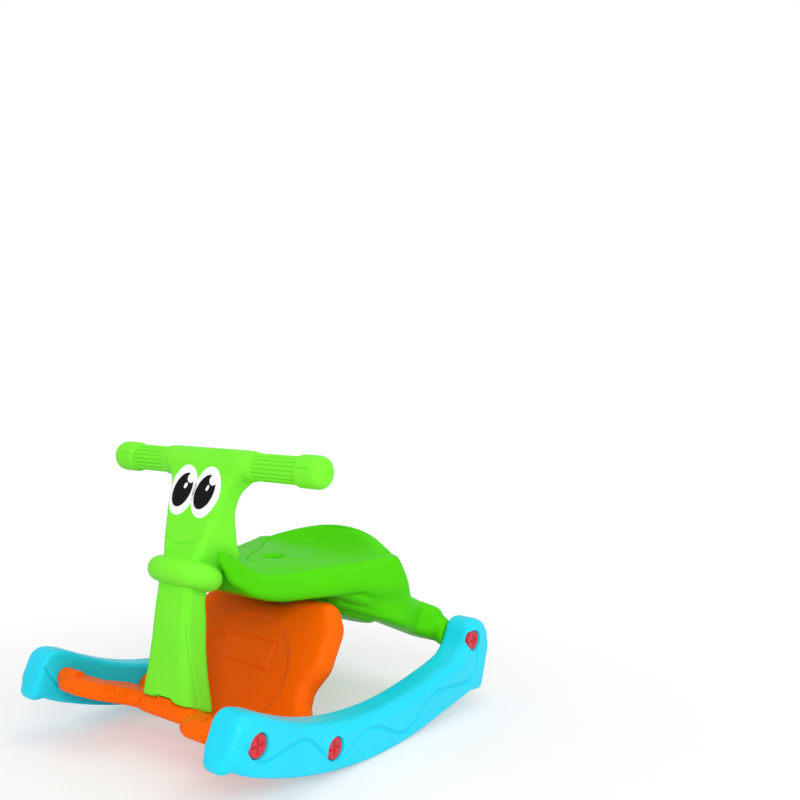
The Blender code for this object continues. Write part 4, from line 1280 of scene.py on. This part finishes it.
def screw(body, place):
    """A screw with its head's top at the place's origin, pointing along the place's +Z."""
    piece = grown(f"{body}_fine", screws, SCREW_SIZES)
    piece.data.transform(TO_WORLD @ place)
    bevel = piece.modifiers.new("edges", "BEVEL")
    bevel.width = 0.7 * MM
    bevel.segments = 3
    bevel.limit_method = "ANGLE"
    bevel.angle_limit = radians(40.0)
    bake(piece)
    dress(piece, red, [body], body, sharp=40.0)


for side, label in ((1, "left"), (-1, "right")):
    for row, (y, z) in SCREW_AXES.items():
        at = Matrix.Translation((side * (OUTER_FACE - HEAD_SUNK), y, z))
        screw(f"{row}_screw_{label}", at @ Matrix.Rotation(side * pi / 2, 4, "Y"))
below = Matrix.Translation((0, COLUMN_SCREW_AT, BASE_LOW + HEAD_SUNK)) @ Matrix.Rotation(pi, 4, "X")
screw("column_screw", base_place() @ below)
screw("seat_screw", Matrix.Translation((0, SEAT_SCREW_Y, SEAT_SCREW_TOP)))

# %% [markdown]
# ## Floor, light and camera
# The toy stands on a plain pale floor in a soft studio: an even white world, one strong lamp on the
# side that the camera sees and two weaker ones, overhead and behind the toy's left. Away from the toy
# the floor fades to pure white for the camera, and near the toy it keeps the shadow.

# %% Floor
REACH = 40.0
CLEAR_WITHIN = 0.30
WHITE_BEYOND = 0.80
corners = [(-REACH, -REACH, 0), (REACH, -REACH, 0), (REACH, REACH, 0), (-REACH, REACH, 0)]
floor_mesh = bpy.data.meshes.new("floor")
floor_mesh.from_pydata(corners, [], [(0, 1, 2, 3)])
floor = in_scene("floor", floor_mesh)
floor_material = bpy.data.materials.new("pale floor")
floor_material.use_nodes = True
tree = floor_material.node_tree
matt = tree.nodes["Principled BSDF"]
matt.inputs["Base Color"].default_value = (0.92, 0.92, 0.92, 1)
matt.inputs["Roughness"].default_value = 0.9
matt.inputs["Specular IOR Level"].default_value = 0.1
where = node(tree, "ShaderNodeTexCoord").outputs["Object"]
away = node(tree, "ShaderNodeVectorMath", {0: where}, operation="LENGTH").outputs["Value"]
fade = node(tree, "ShaderNodeMapRange", {
    "From Min": CLEAR_WITHIN, "From Max": WHITE_BEYOND, "To Min": 0.4, "Value": away,
}, interpolation_type="SMOOTHSTEP").outputs["Result"]
seen = node(tree, "ShaderNodeLightPath").outputs["Is Camera Ray"]
white_share = node(tree, "ShaderNodeMath", {0: fade, 1: seen}, operation="MULTIPLY").outputs["Value"]
paper = node(tree, "ShaderNodeEmission", {"Color": (1, 1, 1, 1)}).outputs["Emission"]
blend = node(tree, "ShaderNodeMixShader", {"Fac": white_share, 1: matt.outputs["BSDF"], 2: paper})
tree.links.new(blend.outputs["Shader"], tree.nodes["Material Output"].inputs["Surface"])
floor_mesh.materials.append(floor_material)

# %% [markdown]
# The world lights the toy evenly from all sides and looks pure white to the camera. Each lamp is a
# square that faces the toy.

# %% World and lamps
WORLD_LIGHT = 0.64
TOY_MIDDLE = 0.2
studio = bpy.data.worlds.new("studio")
bpy.context.scene.world = studio
studio.use_nodes = True
tree = studio.node_tree
background = tree.nodes["Background"]
background.inputs["Color"].default_value = (1, 1, 1, 1)
seen = node(tree, "ShaderNodeLightPath").outputs["Is Camera Ray"]
level = node(tree, "ShaderNodeMapRange", {"To Min": WORLD_LIGHT, "To Max": 1.0, "Value": seen})
tree.links.new(level.outputs["Result"], background.inputs["Strength"])


def lamp(name, place, size, power):
    light = bpy.data.lights.new(name, "AREA")
    light.size = size
    light.energy = power
    made = in_scene(name, light)
    made.location = place
    towards_toy = Vector((0, 0, TOY_MIDDLE)) - Vector(place)
    made.rotation_euler = towards_toy.to_track_quat("-Z", "Y").to_euler()


lamp("key lamp", (1.7, -1.9, 1.5), size=1.1, power=31.0)
lamp("overhead lamp", (0.1, 0.2, 2.4), size=1.4, power=10.0)
lamp("side lamp", (2.2, 0.9, 1.2), size=1.2, power=9.0)

# %% [markdown]
# The camera stands low, in front of the toy's left side. Its place, its turn and the lens's shift were
# worked out so that the toy is seen from the same side, and in the same place, as in the photo.

# %% Camera
CAMERA_AT = (0.8394, -0.9170, 0.4713)
AZIMUTH, ELEVATION, ROLL = radians(38.807), radians(7.207), radians(1.023)
towards = Vector((-sin(AZIMUTH) * cos(ELEVATION), cos(AZIMUTH) * cos(ELEVATION), -sin(ELEVATION)))
level_right = Vector((cos(AZIMUTH), sin(AZIMUTH), 0))
level_up = level_right.cross(towards)
right = level_right * cos(ROLL) + level_up * sin(ROLL)
up = level_up * cos(ROLL) - level_right * sin(ROLL)
lens = bpy.data.cameras.new("camera")
camera = in_scene("camera", lens)
bpy.context.scene.camera = camera
turn = Matrix((right, up, -towards)).transposed().to_4x4()
camera.matrix_world = Matrix.Translation(CAMERA_AT) @ turn
lens.sensor_width = 36.0
lens.lens = 39.34
lens.shift_x = 0.09125
lens.shift_y = 0.1325
bpy.context.scene.view_settings.view_transform = "Standard"
